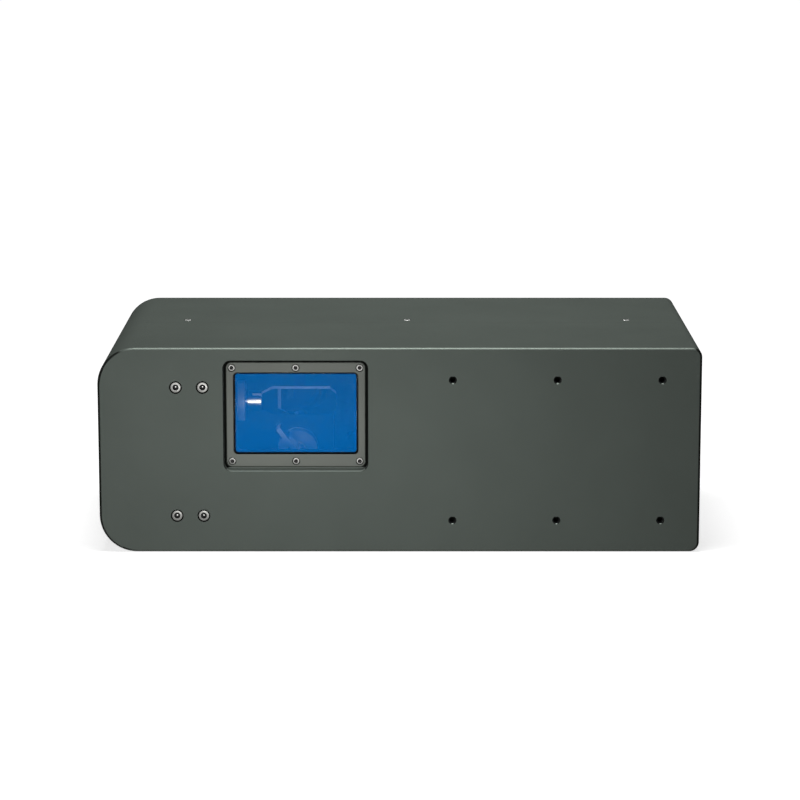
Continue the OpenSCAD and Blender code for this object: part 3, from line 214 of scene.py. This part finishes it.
def all_in_slot(slot):
    return [part["node"] for part in frame["record"]["subparts"] if part["material_slot"] == slot]


# ---------- mesh helpers ----------

def piece(name, mesh, finishes, body):
    """Turns a bmesh into an object that rides on a body."""
    bmesh.ops.remove_doubles(mesh, verts=mesh.verts, dist=1e-7)
    bmesh.ops.recalc_face_normals(mesh, faces=mesh.faces)
    smooth_by_angle(mesh)
    data = bpy.data.meshes.new(name)
    mesh.to_mesh(data)
    mesh.free()
    for finish in finishes:
        data.materials.append(finish.material)
    made = add_to_scene(name, data)
    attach(made, body)
    return made


def smooth_by_angle(mesh, degrees=35):
    limit = math.radians(degrees)
    for face in mesh.faces:
        face.smooth = True
    for edge in mesh.edges:
        if len(edge.link_faces) == 2:
            edge.smooth = edge.calc_face_angle(0) < limit


def place_on(point, axis):
    """Matrix that puts +Z along an axis, at a point."""
    return Matrix.Translation(point) @ Vector(axis).to_track_quat("Z", "Y").to_matrix().to_4x4()


def islands(name):
    """Lowest and highest corner of each separate solid in a CAD node."""
    mesh = bmesh.new()
    mesh.from_mesh(NODES[name].data)
    bmesh.ops.remove_doubles(mesh, verts=mesh.verts, dist=1e-6)
    unseen = set(mesh.verts)
    boxes = []
    while unseen:
        edge_of = [unseen.pop()]
        points = []
        while edge_of:
            vert = edge_of.pop()
            points.append(vert.co.copy())
            for edge in vert.link_edges:
                other = edge.other_vert(vert)
                if other in unseen:
                    unseen.remove(other)
                    edge_of.append(other)
        boxes.append((Vector(map(min, zip(*points))), Vector(map(max, zip(*points)))))
    mesh.free()
    return sorted(boxes, key=lambda box: [round(c, 5) for c in box[0]])


ROUND, KNURLED, HEX = range(3)
KNURL_DEPTH = 0.12


def turned(mesh, profile, matrix, material=0, close="both", steps=48):
    """Revolves (radius, height, kind) rows, in millimetres, round +Z; close names the ends to fill."""
    rings = []
    for radius, height, kind in profile:
        ring = []
        for i in range(steps):
            angle = TAU * i / steps
            r = radius
            if kind == KNURLED and i % 2:
                r = radius - KNURL_DEPTH
            if kind == HEX:
                r = radius / math.cos(angle % (TAU / 6) - TAU / 12)
            ring.append(mesh.verts.new(
                matrix @ Vector((r * MM * math.cos(angle), r * MM * math.sin(angle), height * MM))))
        rings.append(ring)
    for lower, upper in zip(rings, rings[1:]):
        for i in range(steps):
            j = (i + 1) % steps
            mesh.faces.new((lower[i], lower[j], upper[j], upper[i])).material_index = material
    ends = {"low": [(rings[0][::-1], profile[0])], "high": [(rings[-1], profile[-1])], "none": []}
    ends["both"] = ends["low"] + ends["high"]
    for ring, row in ends[close]:
        middle = mesh.verts.new(matrix @ Vector((0, 0, row[1] * MM)))
        for i in range(steps):
            mesh.faces.new((ring[i], ring[(i + 1) % steps], middle)).material_index = material


def helix(mesh, matrix, radius, tip, pitch, length, steps=24):
    """Thread ridge of triangular section that winds from z = 0 to z = length, all in millimetres."""
    count = int(length / pitch * steps)
    half_base = 0.42 * pitch
    least = 0.05
    rows = []
    for i in range(count + 1):
        angle = TAU * i / steps
        fade = min(1, i / steps, (count - i) / steps)
        z = pitch * i / steps
        top = radius + (tip - radius) * fade
        row = []
        for r, dz in ((radius, -half_base), (top, 0), (radius, half_base)):
            row.append(mesh.verts.new(matrix @ Vector(
                (r * MM * math.cos(angle), r * MM * math.sin(angle), (z + dz * max(fade, least)) * MM))))
        rows.append(row)
    for a, b in zip(rows, rows[1:]):
        for k in range(3):
            mesh.faces.new((a[k], b[k], b[(k + 1) % 3], a[(k + 1) % 3]))
    mesh.faces.new(rows[0])
    mesh.faces.new(rows[-1][::-1])


def cap_screw(mesh, matrix, d, length, head_d, head_h, key, pitch):
    """Socket cap screw with its head on z = 0: knurled head, chamfered hex socket, threaded shank.

    The materials are the screw (0), its socket (1) and the floor of the socket (2); the socket is a
    painted shade, and the floor is that shade or a painted glint.
    """
    root = d / 2 - 0.6 * pitch
    r = head_d / 2
    rim = head_d * 0.06
    turned(mesh, [
        (root - 0.2, -length, ROUND), (root, -length + 0.3, ROUND), (root, -0.2, ROUND),
        (root + 0.2, 0, ROUND), (r - 0.12, 0, ROUND), (r, 0.15, ROUND),
        (r, 0.16, KNURLED), (r, head_h - 1.6 * rim, KNURLED), (r, head_h - 1.5 * rim, ROUND),
        (r - 0.12 * rim, head_h - 0.7 * rim, ROUND), (r - 0.5 * rim, head_h - 0.2 * rim, ROUND),
        (r - rim, head_h, ROUND), (key * 0.66, head_h, ROUND)], matrix, 0, "low")
    turned(mesh, [
        (key * 0.66, head_h, ROUND), (key / 2, head_h - 0.12 * key, HEX),
        (key / 2, head_h * 0.45, HEX), (key * 0.42, head_h * 0.42, ROUND),
        (key * 0.2, head_h * 0.36, ROUND)], matrix, 1, "none")
    turned(mesh, [(key * 0.2, head_h * 0.36, ROUND), (key * 0.1, head_h * 0.31, ROUND)], matrix, 2, "high")
    helix(mesh, matrix @ Matrix.Translation((0, 0, (-length + 0.5) * MM)), root - 0.03, d / 2, pitch,
          length - 1.0)


# ---------- user settings ----------

class HousingSettings(bpy.types.PropertyGroup):
    colour: bpy.props.FloatVectorProperty(
        name="Housing colour", description="Colour of the anodised housing", subtype="COLOR",
        size=3, min=0, max=1, default=(0.082, 0.095, 0.085))
    frame_colour: bpy.props.FloatVectorProperty(
        name="Frame colour", description="Colour of the window frame", subtype="COLOR",
        size=3, min=0, max=1, default=(0.135, 0.145, 0.131))
    roughness: bpy.props.FloatProperty(
        name="Roughness", description="Roughness of the blasted surface", subtype="FACTOR",
        min=0, max=1, default=0.46)
    grain: bpy.props.FloatProperty(
        name="Grain", description="Size of the dimples that blasting leaves", subtype="DISTANCE",
        unit="LENGTH", min=0.0001, max=0.002, default=0.0004)


class WindowSettings(bpy.types.PropertyGroup):
    film_colour: bpy.props.FloatVectorProperty(
        name="Film colour", description="Colour of the film on the window", subtype="COLOR",
        size=3, min=0, max=1, default=(0.003, 0.30, 1.0))
    film_cover: bpy.props.FloatProperty(
        name="Film cover", description="How much of the view the film hides", subtype="FACTOR",
        min=0, max=1, default=0.34)


class FastenerSettings(bpy.types.PropertyGroup):
    steel: bpy.props.FloatVectorProperty(
        name="Steel colour", description="Colour of the screws", subtype="COLOR",
        size=3, min=0, max=1, default=(0.15, 0.15, 0.143))
    thread_pitch: bpy.props.FloatProperty(
        name="Thread pitch", description="Pitch of the tapped mounting holes", subtype="DISTANCE",
        unit="LENGTH", min=0.0004, max=0.0015, default=0.0008)


class StageSettings(bpy.types.PropertyGroup):
    ambient: bpy.props.FloatProperty(
        name="Ambient", description="Light from all round", subtype="FACTOR", min=0, max=2, default=0.02)
    left_power: bpy.props.FloatProperty(
        name="Left light", description="Power of the lamp in front of the rounded end", subtype="POWER",
        unit="POWER", min=0, default=0.31)
    front_power: bpy.props.FloatProperty(
        name="Front light", description="Power of the lamp low in front", subtype="POWER",
        unit="POWER", min=0, default=0.41)
    above_front_power: bpy.props.FloatProperty(
        name="Front top light", description="Power of the lamp above the front edge",
        subtype="POWER", unit="POWER", min=0, default=2.4)
    above_back_power: bpy.props.FloatProperty(
        name="Back top light", description="Power of the lamp above and behind",
        subtype="POWER", unit="POWER", min=0, default=2.1)
    floor_colour: bpy.props.FloatVectorProperty(
        name="Floor colour", description="Colour of the floor", subtype="COLOR",
        size=3, min=0, max=1, default=(0.7, 0.7, 0.7))


class ScannerSettings(bpy.types.PropertyGroup):
    housing: bpy.props.PointerProperty(type=HousingSettings)
    window: bpy.props.PointerProperty(type=WindowSettings)
    fasteners: bpy.props.PointerProperty(type=FastenerSettings)
    stage: bpy.props.PointerProperty(type=StageSettings)


def settings():
    return bpy.context.scene.scanner_head


# ---------- finishes ----------

def blasted_anodising(name, colour, roughness, grain, painted_shade_in, open_in=(), edge_light_and_shade=1.0):
    """Dull anodising with a painted highlight along the upper rims, which are also more metallic, painted
    shade down the upright edges and painted shade, black, in some boxes.

    The first list of (low, high, soft) boxes is painted black as shade; the boxes of open_in are never
    black and are painted a little lighter, as painted light.
    """
    dull, rim_metallic = 0.12, 0.9
    finish = Finish(name, colour, dull, roughness, 0.0)
    finish.set(specular_tint=(0.1, 0.1, 0.1, 1))
    finish.grain(grain, 0.00002, mottle=0.035, patch=0.05, shift=0.05)
    across = finish.add("ShaderNodeSeparateXYZ", None, vector=finish.coordinates.outputs["Normal"])

    # Painted highlight: the rims between the top and the face are made more metallic and painted lighter,
    # less so near the window
    up = finish.math("MAXIMUM", across.outputs["Z"], 0.0)
    rim = finish.math("POWER", finish.math("MULTIPLY", up, across.outputs["Y"]), 2.0)
    rim = finish.spread(rim, 0, edge_light_and_shade, 0.02, 0.2)
    low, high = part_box("window_frame")
    near_window = finish.within(low - Vector((0.004, 1, 0.004)), high + Vector((0.004, 1, 0.004)), 0.001)
    rim = finish.math("SUBTRACT", rim, finish.math("MULTIPLY", near_window, 0.75 * edge_light_and_shade))
    rim = finish.math("MAXIMUM", rim, 0.0)
    finish.to("Metallic", finish.spread(rim, dull, rim_metallic, 0, 1))
    surface = finish.mix(rim, finish.plain_colour(), tuple(1.6 * c for c in colour))

    # Painted shade: the edges that turn from the face to the ends are darkened towards near black
    front = finish.math("MINIMUM", across.outputs["Y"], 0.0)
    upright = finish.math("POWER", finish.math("MULTIPLY", front, across.outputs["X"]), 2.0)
    upright = finish.spread(upright, 0, 0.95 * edge_light_and_shade, 0.002, 0.04)
    surface = finish.mix(upright, surface, EDGE_PAINTED_SHADE)

    # Painted shade: the listed boxes are painted black
    black = 0.0
    for box in painted_shade_in:
        black = finish.math("MAXIMUM", finish.within(*box), black)
    # Painted light: the open boxes are painted 1.9 times lighter
    lit = tuple(1.9 * c for c in colour)
    for box in open_in:
        inside = finish.within(*box)
        black = finish.math("MULTIPLY", black, finish.math("SUBTRACT", 1.0, inside))
        surface = finish.mix(inside, surface, lit)
    finish.to("Base Color", finish.mix(black, surface, HOLLOW_PAINTED_SHADE))
    return finish


def steel_finish(name, colour, roughness=0.36):
    finish = Finish(name, colour, 1.0, roughness)
    return finish.grain(0.00035, 0.00001, mottle=0.10, patch=0.002, shift=0.08)


def black_finish(name, roughness=0.5, metallic=0.1):
    finish = Finish(name, ANODISED_BLACK, metallic, roughness, 0.05)
    return finish.grain(0.0005, 0.00002, mottle=0.15, patch=0.02, shift=0.06)


def turned_metal(name, colour, node, axis, roughness=0.3, nose_r=0.0136):
    """Lathe-cut metal: fine rings round the axis of a CAD node, bare on the nose and black outside it."""
    bare_metallic, black_metallic = 0.15, 0.1
    finish = Finish(name, colour, bare_metallic, roughness)
    mapping = finish.add("ShaderNodeMapping", None, vector=finish.place)
    mapping.inputs["Location"].default_value = tuple(-c for c in centre(node))
    rings = finish.add("ShaderNodeTexWave", {"wave_type": "RINGS", "rings_direction": axis},
                       vector=mapping.outputs[0], scale=700.0, distortion=1.5, detail=2.0)
    rings.inputs["Detail Scale"].default_value = 200.0
    streaks = finish.noise(900, 3.0)
    height = finish.math("ADD", rings.outputs["Fac"], finish.math("MULTIPLY", streaks, 0.6))
    finish.to("Normal", finish.bump(height, 0.000012))
    finish.to("Roughness", finish.spread(rings.outputs["Fac"], roughness - 0.08, roughness + 0.1, 0, 1))
    dark = tuple(c * 0.86 for c in colour)
    bare = finish.mix(finish.spread(streaks, 0, 1), dark, colour)
    flat = finish.vector_math("MULTIPLY", mapping.outputs[0],
                              (0 if axis == "X" else 1, 0 if axis == "Y" else 1, 1)).outputs[0]
    distance = finish.vector_math("LENGTH", flat).outputs["Value"]
    outside = finish.spread(distance, 0, 1, nose_r, nose_r + 0.0001)
    finish.to("Base Color", finish.mix(outside, bare, (0.014, 0.015, 0.015)))
    finish.to("Metallic", finish.spread(outside, bare_metallic, black_metallic, 0, 1))
    return finish


def mirror_glass(name, node):
    """Mirror coating on the two large faces and ground glass round the edge."""
    finish = Finish(name, (0.80, 0.84, 0.82), 1.0, 0.03)
    finish.grain(0.02, 0.000001, mottle=0.02, patch=0.02, shift=0.01)
    faces = NODES[node].data.polygons
    broad = max(faces, key=lambda face: face.area).normal
    facing = finish.vector_math("DOT_PRODUCT", finish.coordinates.outputs["Normal"], tuple(broad))
    squared = finish.math("POWER", facing.outputs["Value"], 2.0)
    ground = finish.spread(squared, 1, 0, 0.3, 0.8)
    finish.to("Base Color", finish.mix(ground, finish.plain_colour(), (0.92, 0.98, 1.0)))
    finish.to("Metallic", finish.spread(ground, 1, 0, 0, 1))
    finish.to("Roughness", finish.spread(ground, 0.03, 0.5, 0, 1))
    return finish


def wound_copper(name, direction):
    """Enamelled wire laid turn by turn along one axis."""
    finish = Finish(name, (0.48, 0.17, 0.06), 0.85, 0.32)
    turns = finish.add("ShaderNodeTexWave", {"wave_type": "BANDS", "bands_direction": direction},
                       vector=finish.place, scale=700.0, distortion=0.4, detail=1.0)
    shade = turns.outputs["Fac"]
    finish.to("Base Color", finish.mix(shade, (0.10, 0.03, 0.012), (0.56, 0.21, 0.08)))
    finish.to("Roughness", finish.spread(finish.noise(1500), 0.25, 0.42))
    finish.to("Normal", finish.bump(shade, 0.0002))
    return finish


def circuit_mask(name):
    """Solder mask over copper tracks that run square to each other."""
    finish = Finish(name, (0.010, 0.09, 0.035), 0.0, 0.38, 0.5)
    cells = finish.add("ShaderNodeTexVoronoi", {"distance": "MANHATTAN"}, vector=finish.place, scale=260.0)
    tracks = finish.spread(cells.outputs["Distance"], 0, 1, 0.42, 0.46)
    finish.to("Base Color", finish.mix(tracks, (0.006, 0.055, 0.020), (0.02, 0.14, 0.055)))
    finish.to("Normal", finish.bump(tracks, 0.00004))
    finish.to("Roughness", finish.spread(finish.noise(800), 0.3, 0.48))
    return finish


def clear_glass(name, colour, cover, roughness=0.03):
    finish = Finish(name, colour, 0.0, roughness, 0.5)
    smear = finish.noise(40, 4.0)
    finish.to("Alpha", finish.spread(smear, cover * 0.8, cover * 1.25))
    finish.to("Roughness", finish.spread(smear, roughness, roughness + 0.05))
    return finish


def plated_connector(name, *plastic_in):
    """Plated shells and pins with black plastic inside the (middle, half size) boxes."""
    finish = steel_finish(name, (0.42, 0.42, 0.41))
    plastic = 0.0
    for middle, half in plastic_in:
        plastic = finish.math("MAXIMUM", finish.within(middle - half, middle + half, 0.0001), plastic)
    finish.to("Base Color", finish.mix(plastic, finish.plain_colour(), BLACK_PLASTIC))
    finish.to("Metallic", finish.spread(plastic, 1, 0, 0, 1))
    finish.set(specular_ior_level=0.3)
    return finish


# ---------- studio ----------

# Lamp, the setting with its power, where it stands, what it points at, its size, its spread in degrees
LAMPS = (
    ("left_lamp", "left_power", (-0.18, -0.6, 0.12), (-0.2, -0.106, 0.06), (0.2, 0.15), 120),
    ("front_lamp", "front_power", (-0.04, -0.5, 0.03), (0.0, -0.106, 0.01), (0.2, 0.1), 140),
    ("above_front", "above_front_power", (-0.02, -0.22, 0.75), (-0.02, -0.106, 0.13), (0.5, 0.1), 160),
    ("above_back", "above_back_power", (0.0, 0.35, 0.7), (0.0, 0.0, 0.13), (0.4, 0.1), 160),
)
CAMERA_AIM = Vector((0.000284, FACE_Y, 0.09936))
CAMERA_DISTANCE = 1.9087
CAMERA_PITCH = math.radians(10.674)
LENS_MM = 134.86
SENSOR_MM = 36
FLOOR_HALF = 15
FLOOR_DROP = 0.0002


def seen_rays(tree):
    """1 for rays from the camera, a glossy surface or glass, and 0 for the rest."""
    path = tree.nodes.new("ShaderNodeLightPath")
    total = path.outputs["Is Camera Ray"]
    for name in ("Is Glossy Ray", "Is Transmission Ray"):
        largest = tree.nodes.new("ShaderNodeMath")
        largest.operation = "MAXIMUM"
        tree.links.new(total, largest.inputs[0])
        tree.links.new(path.outputs[name], largest.inputs[1])
        total = largest.outputs[0]
    return total


def add_to_scene(name, data):
    made = bpy.data.objects.new(name, data)
    bpy.context.scene.collection.objects.link(made)
    return made


def point(made, place, aim):
    """Stands a lamp or camera at a place and turns it to what it aims at."""
    made.location = place
    made.rotation_euler = (Vector(aim) - Vector(place)).to_track_quat("-Z", "Y").to_euler()


# ---------- operators ----------

class SCANNER_OT_housing(bpy.types.Operator):
    """Blasted, anodised finish on the two shells and the seal between them"""
    bl_idname = "scanner.housing"
    bl_label = "Housing"

    def execute(self, context):
        chosen = settings().housing
        # Painted shade: black inside the shells, which also darkens holes and recesses more than 5 mm
        # behind the face, and down the holes of the cap screws beside the window
        margin = Vector((0.008, 0.005, 0.008))
        inside = (CAD_BOX[0] + margin, CAD_BOX[1] - margin, 0.0015)
        low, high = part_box("galvo_block_screws")
        around = Vector((0.003, 0, 0.003))
        low, high = low - around, high + around
        low.y = FACE_Y + 0.0002
        counterbores = (low, high, 0.0001)
        # The lower wall and floor of the groove round the window frame are never black and are painted
        # lighter, as painted light
        low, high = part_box("window_frame")
        groove = (Vector((low.x - 0.002, FACE_Y + 0.0001, low.z - 0.005)),
                  Vector((high.x + 0.002, high.y + 0.0005, low.z - 0.0006)), 0.0002)
        shell = blasted_anodising("anodised_housing", chosen.colour, chosen.roughness, chosen.grain,
                                  (inside, counterbores), (groove,))
        dress(shell, *all_in_slot("anodised_housing"))
        dress(black_finish("seal_rubber", 0.75, 0.0), *all_in_slot("black_rubber"))
        return {"FINISHED"}


class SCANNER_OT_window(bpy.types.Operator):
    """Lighter frame, clear glass and the blue film"""
    bl_idname = "scanner.window"
    bl_label = "Window"

    def execute(self, context):
        chosen = settings().housing
        low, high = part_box("window_frame")
        # Painted shade: the frame is painted black more than 0.2 mm behind its face, in its opening and
        # down its counterbores; its painted rim highlight and edge shade are weaker
        inset = Vector((0.0015, 0.0002, 0.0015))
        behind = Vector((-0.0015, 0.01, -0.0015))
        plate = blasted_anodising("anodised_frame", chosen.frame_colour, chosen.roughness, chosen.grain,
                                  ((low + inset, high + behind, 0.0002),), edge_light_and_shade=0.3)
        dress(plate, *all_in_slot("anodised_frame"))
        dress(clear_glass("window_glass", (0.03, 0.06, 0.07), 0.03), "window_glass", "beam_port_glass")
        film = Finish("blue_film", settings().window.film_colour, 0.0, 0.22, 0.0)
        film.grain(0.004, 0.000004, mottle=0.03, patch=0.04, shift=0.04)
        film.set(alpha=settings().window.film_cover)
        dress(film, *all_in_slot("blue_film"))
        return {"FINISHED"}


class SCANNER_OT_optics(bpy.types.Operator):
    """Mirrors, lenses, motors and everything that carries them"""
    bl_idname = "scanner.optics"
    bl_label = "Optics and motors"

    def execute(self, context):
        for name in all_in_slot("coated_mirror"):
            dress(mirror_glass(name + "_glass", name), name)
        dress(clear_glass("lens_glass", (0.75, 0.86, 0.84), 0.25), *all_in_slot("lens_glass"))
        dress(black_finish("black_anodised"), *all_in_slot("black_anodised"))
        bare = Finish("bare_aluminium", (0.62, 0.63, 0.63), 1.0, 0.36)
        bare.grain(0.0004, 0.00001, mottle=0.06, patch=0.01)
        dress(bare, *all_in_slot("bare_aluminium"))
        # Painted highlight: the clamps get a lighter, warmer copy of the bare aluminium, so their
        # highlights through the film come out bright and cream
        clamp = Finish("clamp_metal", (0.95, 0.84, 0.62), 1.0, 0.24)
        clamp.grain(0.0004, 0.00001, mottle=0.06, patch=0.01)
        dress(clamp, "first_mirror_clamp", "second_mirror_clamp")
        # Painted light: the first motor gets a lighter copy of the turned metal than the second, so its
        # face through the window comes out brighter
        dress(turned_metal("motor_shell_y", (0.90, 0.92, 0.94), "first_motor", "Y"), "first_motor")
        dress(turned_metal("motor_shell_x", (0.66, 0.68, 0.70), "second_motor", "X"), "second_motor")
        for name in all_in_slot("copper_winding"):
            dress(wound_copper(name + "_wire", "Y" if name.startswith("first") else "X"), name)
        bearing = steel_finish("bearing_steel", (0.55, 0.56, 0.57), 0.22)
        dress(bearing, *all_in_slot("bearing_steel"))
        dress(steel_finish("magnet_plating", (0.50, 0.50, 0.49), 0.2), *all_in_slot("magnet"))
        dress(black_finish("sensor_plastic", 0.55, 0.0), *all_in_slot("sensor_plastic"))
        return {"FINISHED"}


class SCANNER_OT_electronics(bpy.types.Operator):
    """Driver boards, their posts and the two connectors"""
    bl_idname = "scanner.electronics"
    bl_label = "Electronics"

    def execute(self, context):
        dress(circuit_mask("circuit_board"), *all_in_slot("circuit_board"))
        dress(steel_finish("brass_post", (0.58, 0.42, 0.16), 0.3), *all_in_slot("brass_post"))
        # Black plastic fills the signal socket's shell and lies at the bottom of the power socket
        shell = (centre("signal_connector"), Vector((0.01, 0.0036, 0.0181)))
        middle = centre("power_connector")
        middle.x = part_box("power_connector")[0].x + 0.0105
        floor = (middle, Vector((0.001, 0.0068, 0.0068)))
        dress(plated_connector("connector_metal", shell, floor), *all_in_slot("connector_metal"))
        return {"FINISHED"}


# Diameter, head diameter, head height, key and pitch of the cap screws, in millimetres
M4_SCREW = (4, 7, 4, 3, 0.7)
M25_SCREW = (2.5, 4.3, 1.5, 2, 0.45)


class SCANNER_OT_screws(bpy.types.Operator):
    """Steel cap screws with knurled heads and threads, and the steel pins"""
    bl_idname = "scanner.screws"
    bl_label = "Screws"

    def execute(self, context):
        steel = steel_finish("bright_screw", settings().fasteners.steel)
        # Painted shade: the sockets are painted near black
        socket = steel_finish("screw_socket", (0.02, 0.02, 0.02), 0.5)
        # Painted highlight: a lighter copy of the screw steel gives the glint at the floor of the M4
        # sockets and brightens the seam screws
        highlight_steel = steel_finish("polished_screw", (0.6, 0.6, 0.58), 0.3)
        dress(steel, *all_in_slot("bright_screw"))
        for node, heads, size, finishes in (
                ("galvo_block_screws", "front", M4_SCREW, (steel, socket, highlight_steel)),
                ("window_frame_screws", "front", M25_SCREW, (steel, socket, socket)),
                ("seam_screws", "top and bottom", M25_SCREW, (highlight_steel, socket, socket))):
            self.replace(node, heads, size, finishes)
        return {"FINISHED"}

    def replace(self, node, heads, size, finishes):
        """Stands a detailed screw in the place of each solid in a CAD node."""
        d, head_d, head_h, key, pitch = size
        mesh = bmesh.new()
        for low, high in islands(node):
            middle = (low + high) / 2
            if heads == "front":
                seat = Vector((middle.x, low.y + head_h * MM, middle.z))
                out, reach = (0, -1, 0), high.y - low.y
            else:
                up = 1 if middle.z > MID_Z else -1
                head = high.z if up > 0 else low.z
                seat = Vector((middle.x, middle.y, head - up * head_h * MM))
                out, reach = (0, 0, up), high.z - low.z
            cap_screw(mesh, place_on(seat, out), d, reach / MM - head_h, head_d, head_h, key, pitch)
        made = piece(node + "_detailed", mesh, finishes, "housing")
        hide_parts(node)


class SCANNER_OT_threads(bpy.types.Operator):
    """Threads in the six tapped mounting holes on the face"""
    bl_idname = "scanner.threads"
    bl_label = "Tapped holes"

    def execute(self, context):
        pitch = settings().fasteners.thread_pitch / MM
        start, length = 0.7, 6.6
        bore_r = GRID_HOLE_D / MM / 2
        mesh = bmesh.new()
        for column in (-1, 0, 1):
            for row in (-0.5, 0.5):
                place = Vector((GRID_X + column * GRID_PITCH_X, FACE_Y, MID_Z + row * GRID_PITCH_Z))
                matrix = place_on(place + Vector((0, start * MM, 0)), (0, 1, 0))
                helix(mesh, matrix, bore_r + 0.05, bore_r - 0.4, pitch, length)
        finish = black_finish("tapped_thread", 0.4, 0.6)
        piece("mounting_hole_threads", mesh, (finish,), "housing")
        return {"FINISHED"}


class SCANNER_OT_stage(bpy.types.Operator):
    """Floor, white surroundings, lamps and camera"""
    bl_idname = "scanner.stage"
    bl_label = "Stage"

    def execute(self, context):
        chosen = settings().stage
        self.floor(chosen.floor_colour)
        self.world(chosen.ambient)
        for name, power, place, aim, size, spread in LAMPS:
            self.lamp(name, getattr(chosen, power), place, aim, size, spread)
        self.camera()
        context.scene.view_settings.view_transform = "Standard"
        return {"FINISHED"}

    def floor(self, colour):
        mesh = bmesh.new()
        bmesh.ops.create_grid(mesh, x_segments=8, y_segments=8, size=FLOOR_HALF)
        bmesh.ops.translate(mesh, verts=mesh.verts, vec=(0, 0, CAD_BOX[0].z - FLOOR_DROP))
        data = bpy.data.meshes.new("floor")
        mesh.to_mesh(data)
        mesh.free()
        add_to_scene("floor", data)
        finish = Finish("floor_paper", colour, 0.0, 0.9, 0.0)
        finish.grain(0.002, 0.00001, mottle=0.01, patch=0.4)
        distance = finish.vector_math("LENGTH", finish.place).outputs["Value"]
        white = finish.spread(distance, 0.75, 1.0, 0.3, 0.9)
        finish.set(emission_color=(1, 1, 1, 1))
        finish.to("Emission Strength", finish.math("MULTIPLY", seen_rays(finish.tree), white))
        data.materials.append(finish.material)

    def world(self, ambient):
        world = bpy.data.worlds.new("studio")
        bpy.context.scene.world = world
        world.use_nodes = True
        tree = world.node_tree
        tree.nodes.clear()
        output = tree.nodes.new("ShaderNodeOutputWorld")
        sky = tree.nodes.new("ShaderNodeBackground")
        sky.inputs["Color"].default_value = (1, 1, 1, 1)
        strength = tree.nodes.new("ShaderNodeMapRange")
        tree.links.new(seen_rays(tree), strength.inputs["Value"])
        strength.inputs["To Min"].default_value = ambient
        strength.inputs["To Max"].default_value = 1.0
        tree.links.new(strength.outputs[0], sky.inputs["Strength"])
        tree.links.new(sky.outputs[0], output.inputs["Surface"])

    def lamp(self, name, power, place, aim, size, spread):
        data = bpy.data.lights.new(name, "AREA")
        data.shape = "RECTANGLE"
        data.spread = math.radians(spread)
        data.size, data.size_y = size
        data.energy = power
        point(add_to_scene(name, data), place, aim)

    def camera(self):
        data = bpy.data.cameras.new("camera")
        data.sensor_width = SENSOR_MM
        data.lens = LENS_MM
        data.clip_end = 60
        made = add_to_scene("camera", data)
        back = Vector((0, -math.cos(CAMERA_PITCH), math.sin(CAMERA_PITCH)))
        point(made, CAMERA_AIM + CAMERA_DISTANCE * back, CAMERA_AIM)
        bpy.context.scene.camera = made


OPERATORS = (
    SCANNER_OT_housing, SCANNER_OT_window, SCANNER_OT_optics, SCANNER_OT_electronics,
    SCANNER_OT_screws, SCANNER_OT_threads, SCANNER_OT_stage,
)


class SCANNER_PT_panel(bpy.types.Panel):
    """Lists the pieces of the scanner head and their settings"""
    bl_idname = "SCANNER_PT_panel"
    bl_label = "Scanner Head"
    bl_space_type = "VIEW_3D"
    bl_region_type = "UI"
    bl_category = "Scanner Head"

    def draw(self, context):
        groups = context.scene.scanner_head
        for group in (groups.housing, groups.window, groups.fasteners, groups.stage):
            box = self.layout.box()
            for name in group.__annotations__:
                box.prop(group, name)
        for operator in OPERATORS:
            self.layout.operator(operator.bl_idname)


SETTINGS = (HousingSettings, WindowSettings, FastenerSettings, StageSettings, ScannerSettings)
CLASSES = SETTINGS + OPERATORS + (SCANNER_PT_panel,)


def register():
    for item in CLASSES:
        bpy.utils.register_class(item)
    bpy.types.Scene.scanner_head = bpy.props.PointerProperty(type=ScannerSettings)


def unregister():
    del bpy.types.Scene.scanner_head
    for item in reversed(CLASSES):
        bpy.utils.unregister_class(item)


def main():
    register()
    bpy.ops.scanner.housing()
    bpy.ops.scanner.window()
    bpy.ops.scanner.optics()
    bpy.ops.scanner.electronics()
    bpy.ops.scanner.screws()
    bpy.ops.scanner.threads()
    bpy.ops.scanner.stage()


if __name__ == "__main__":
    main()
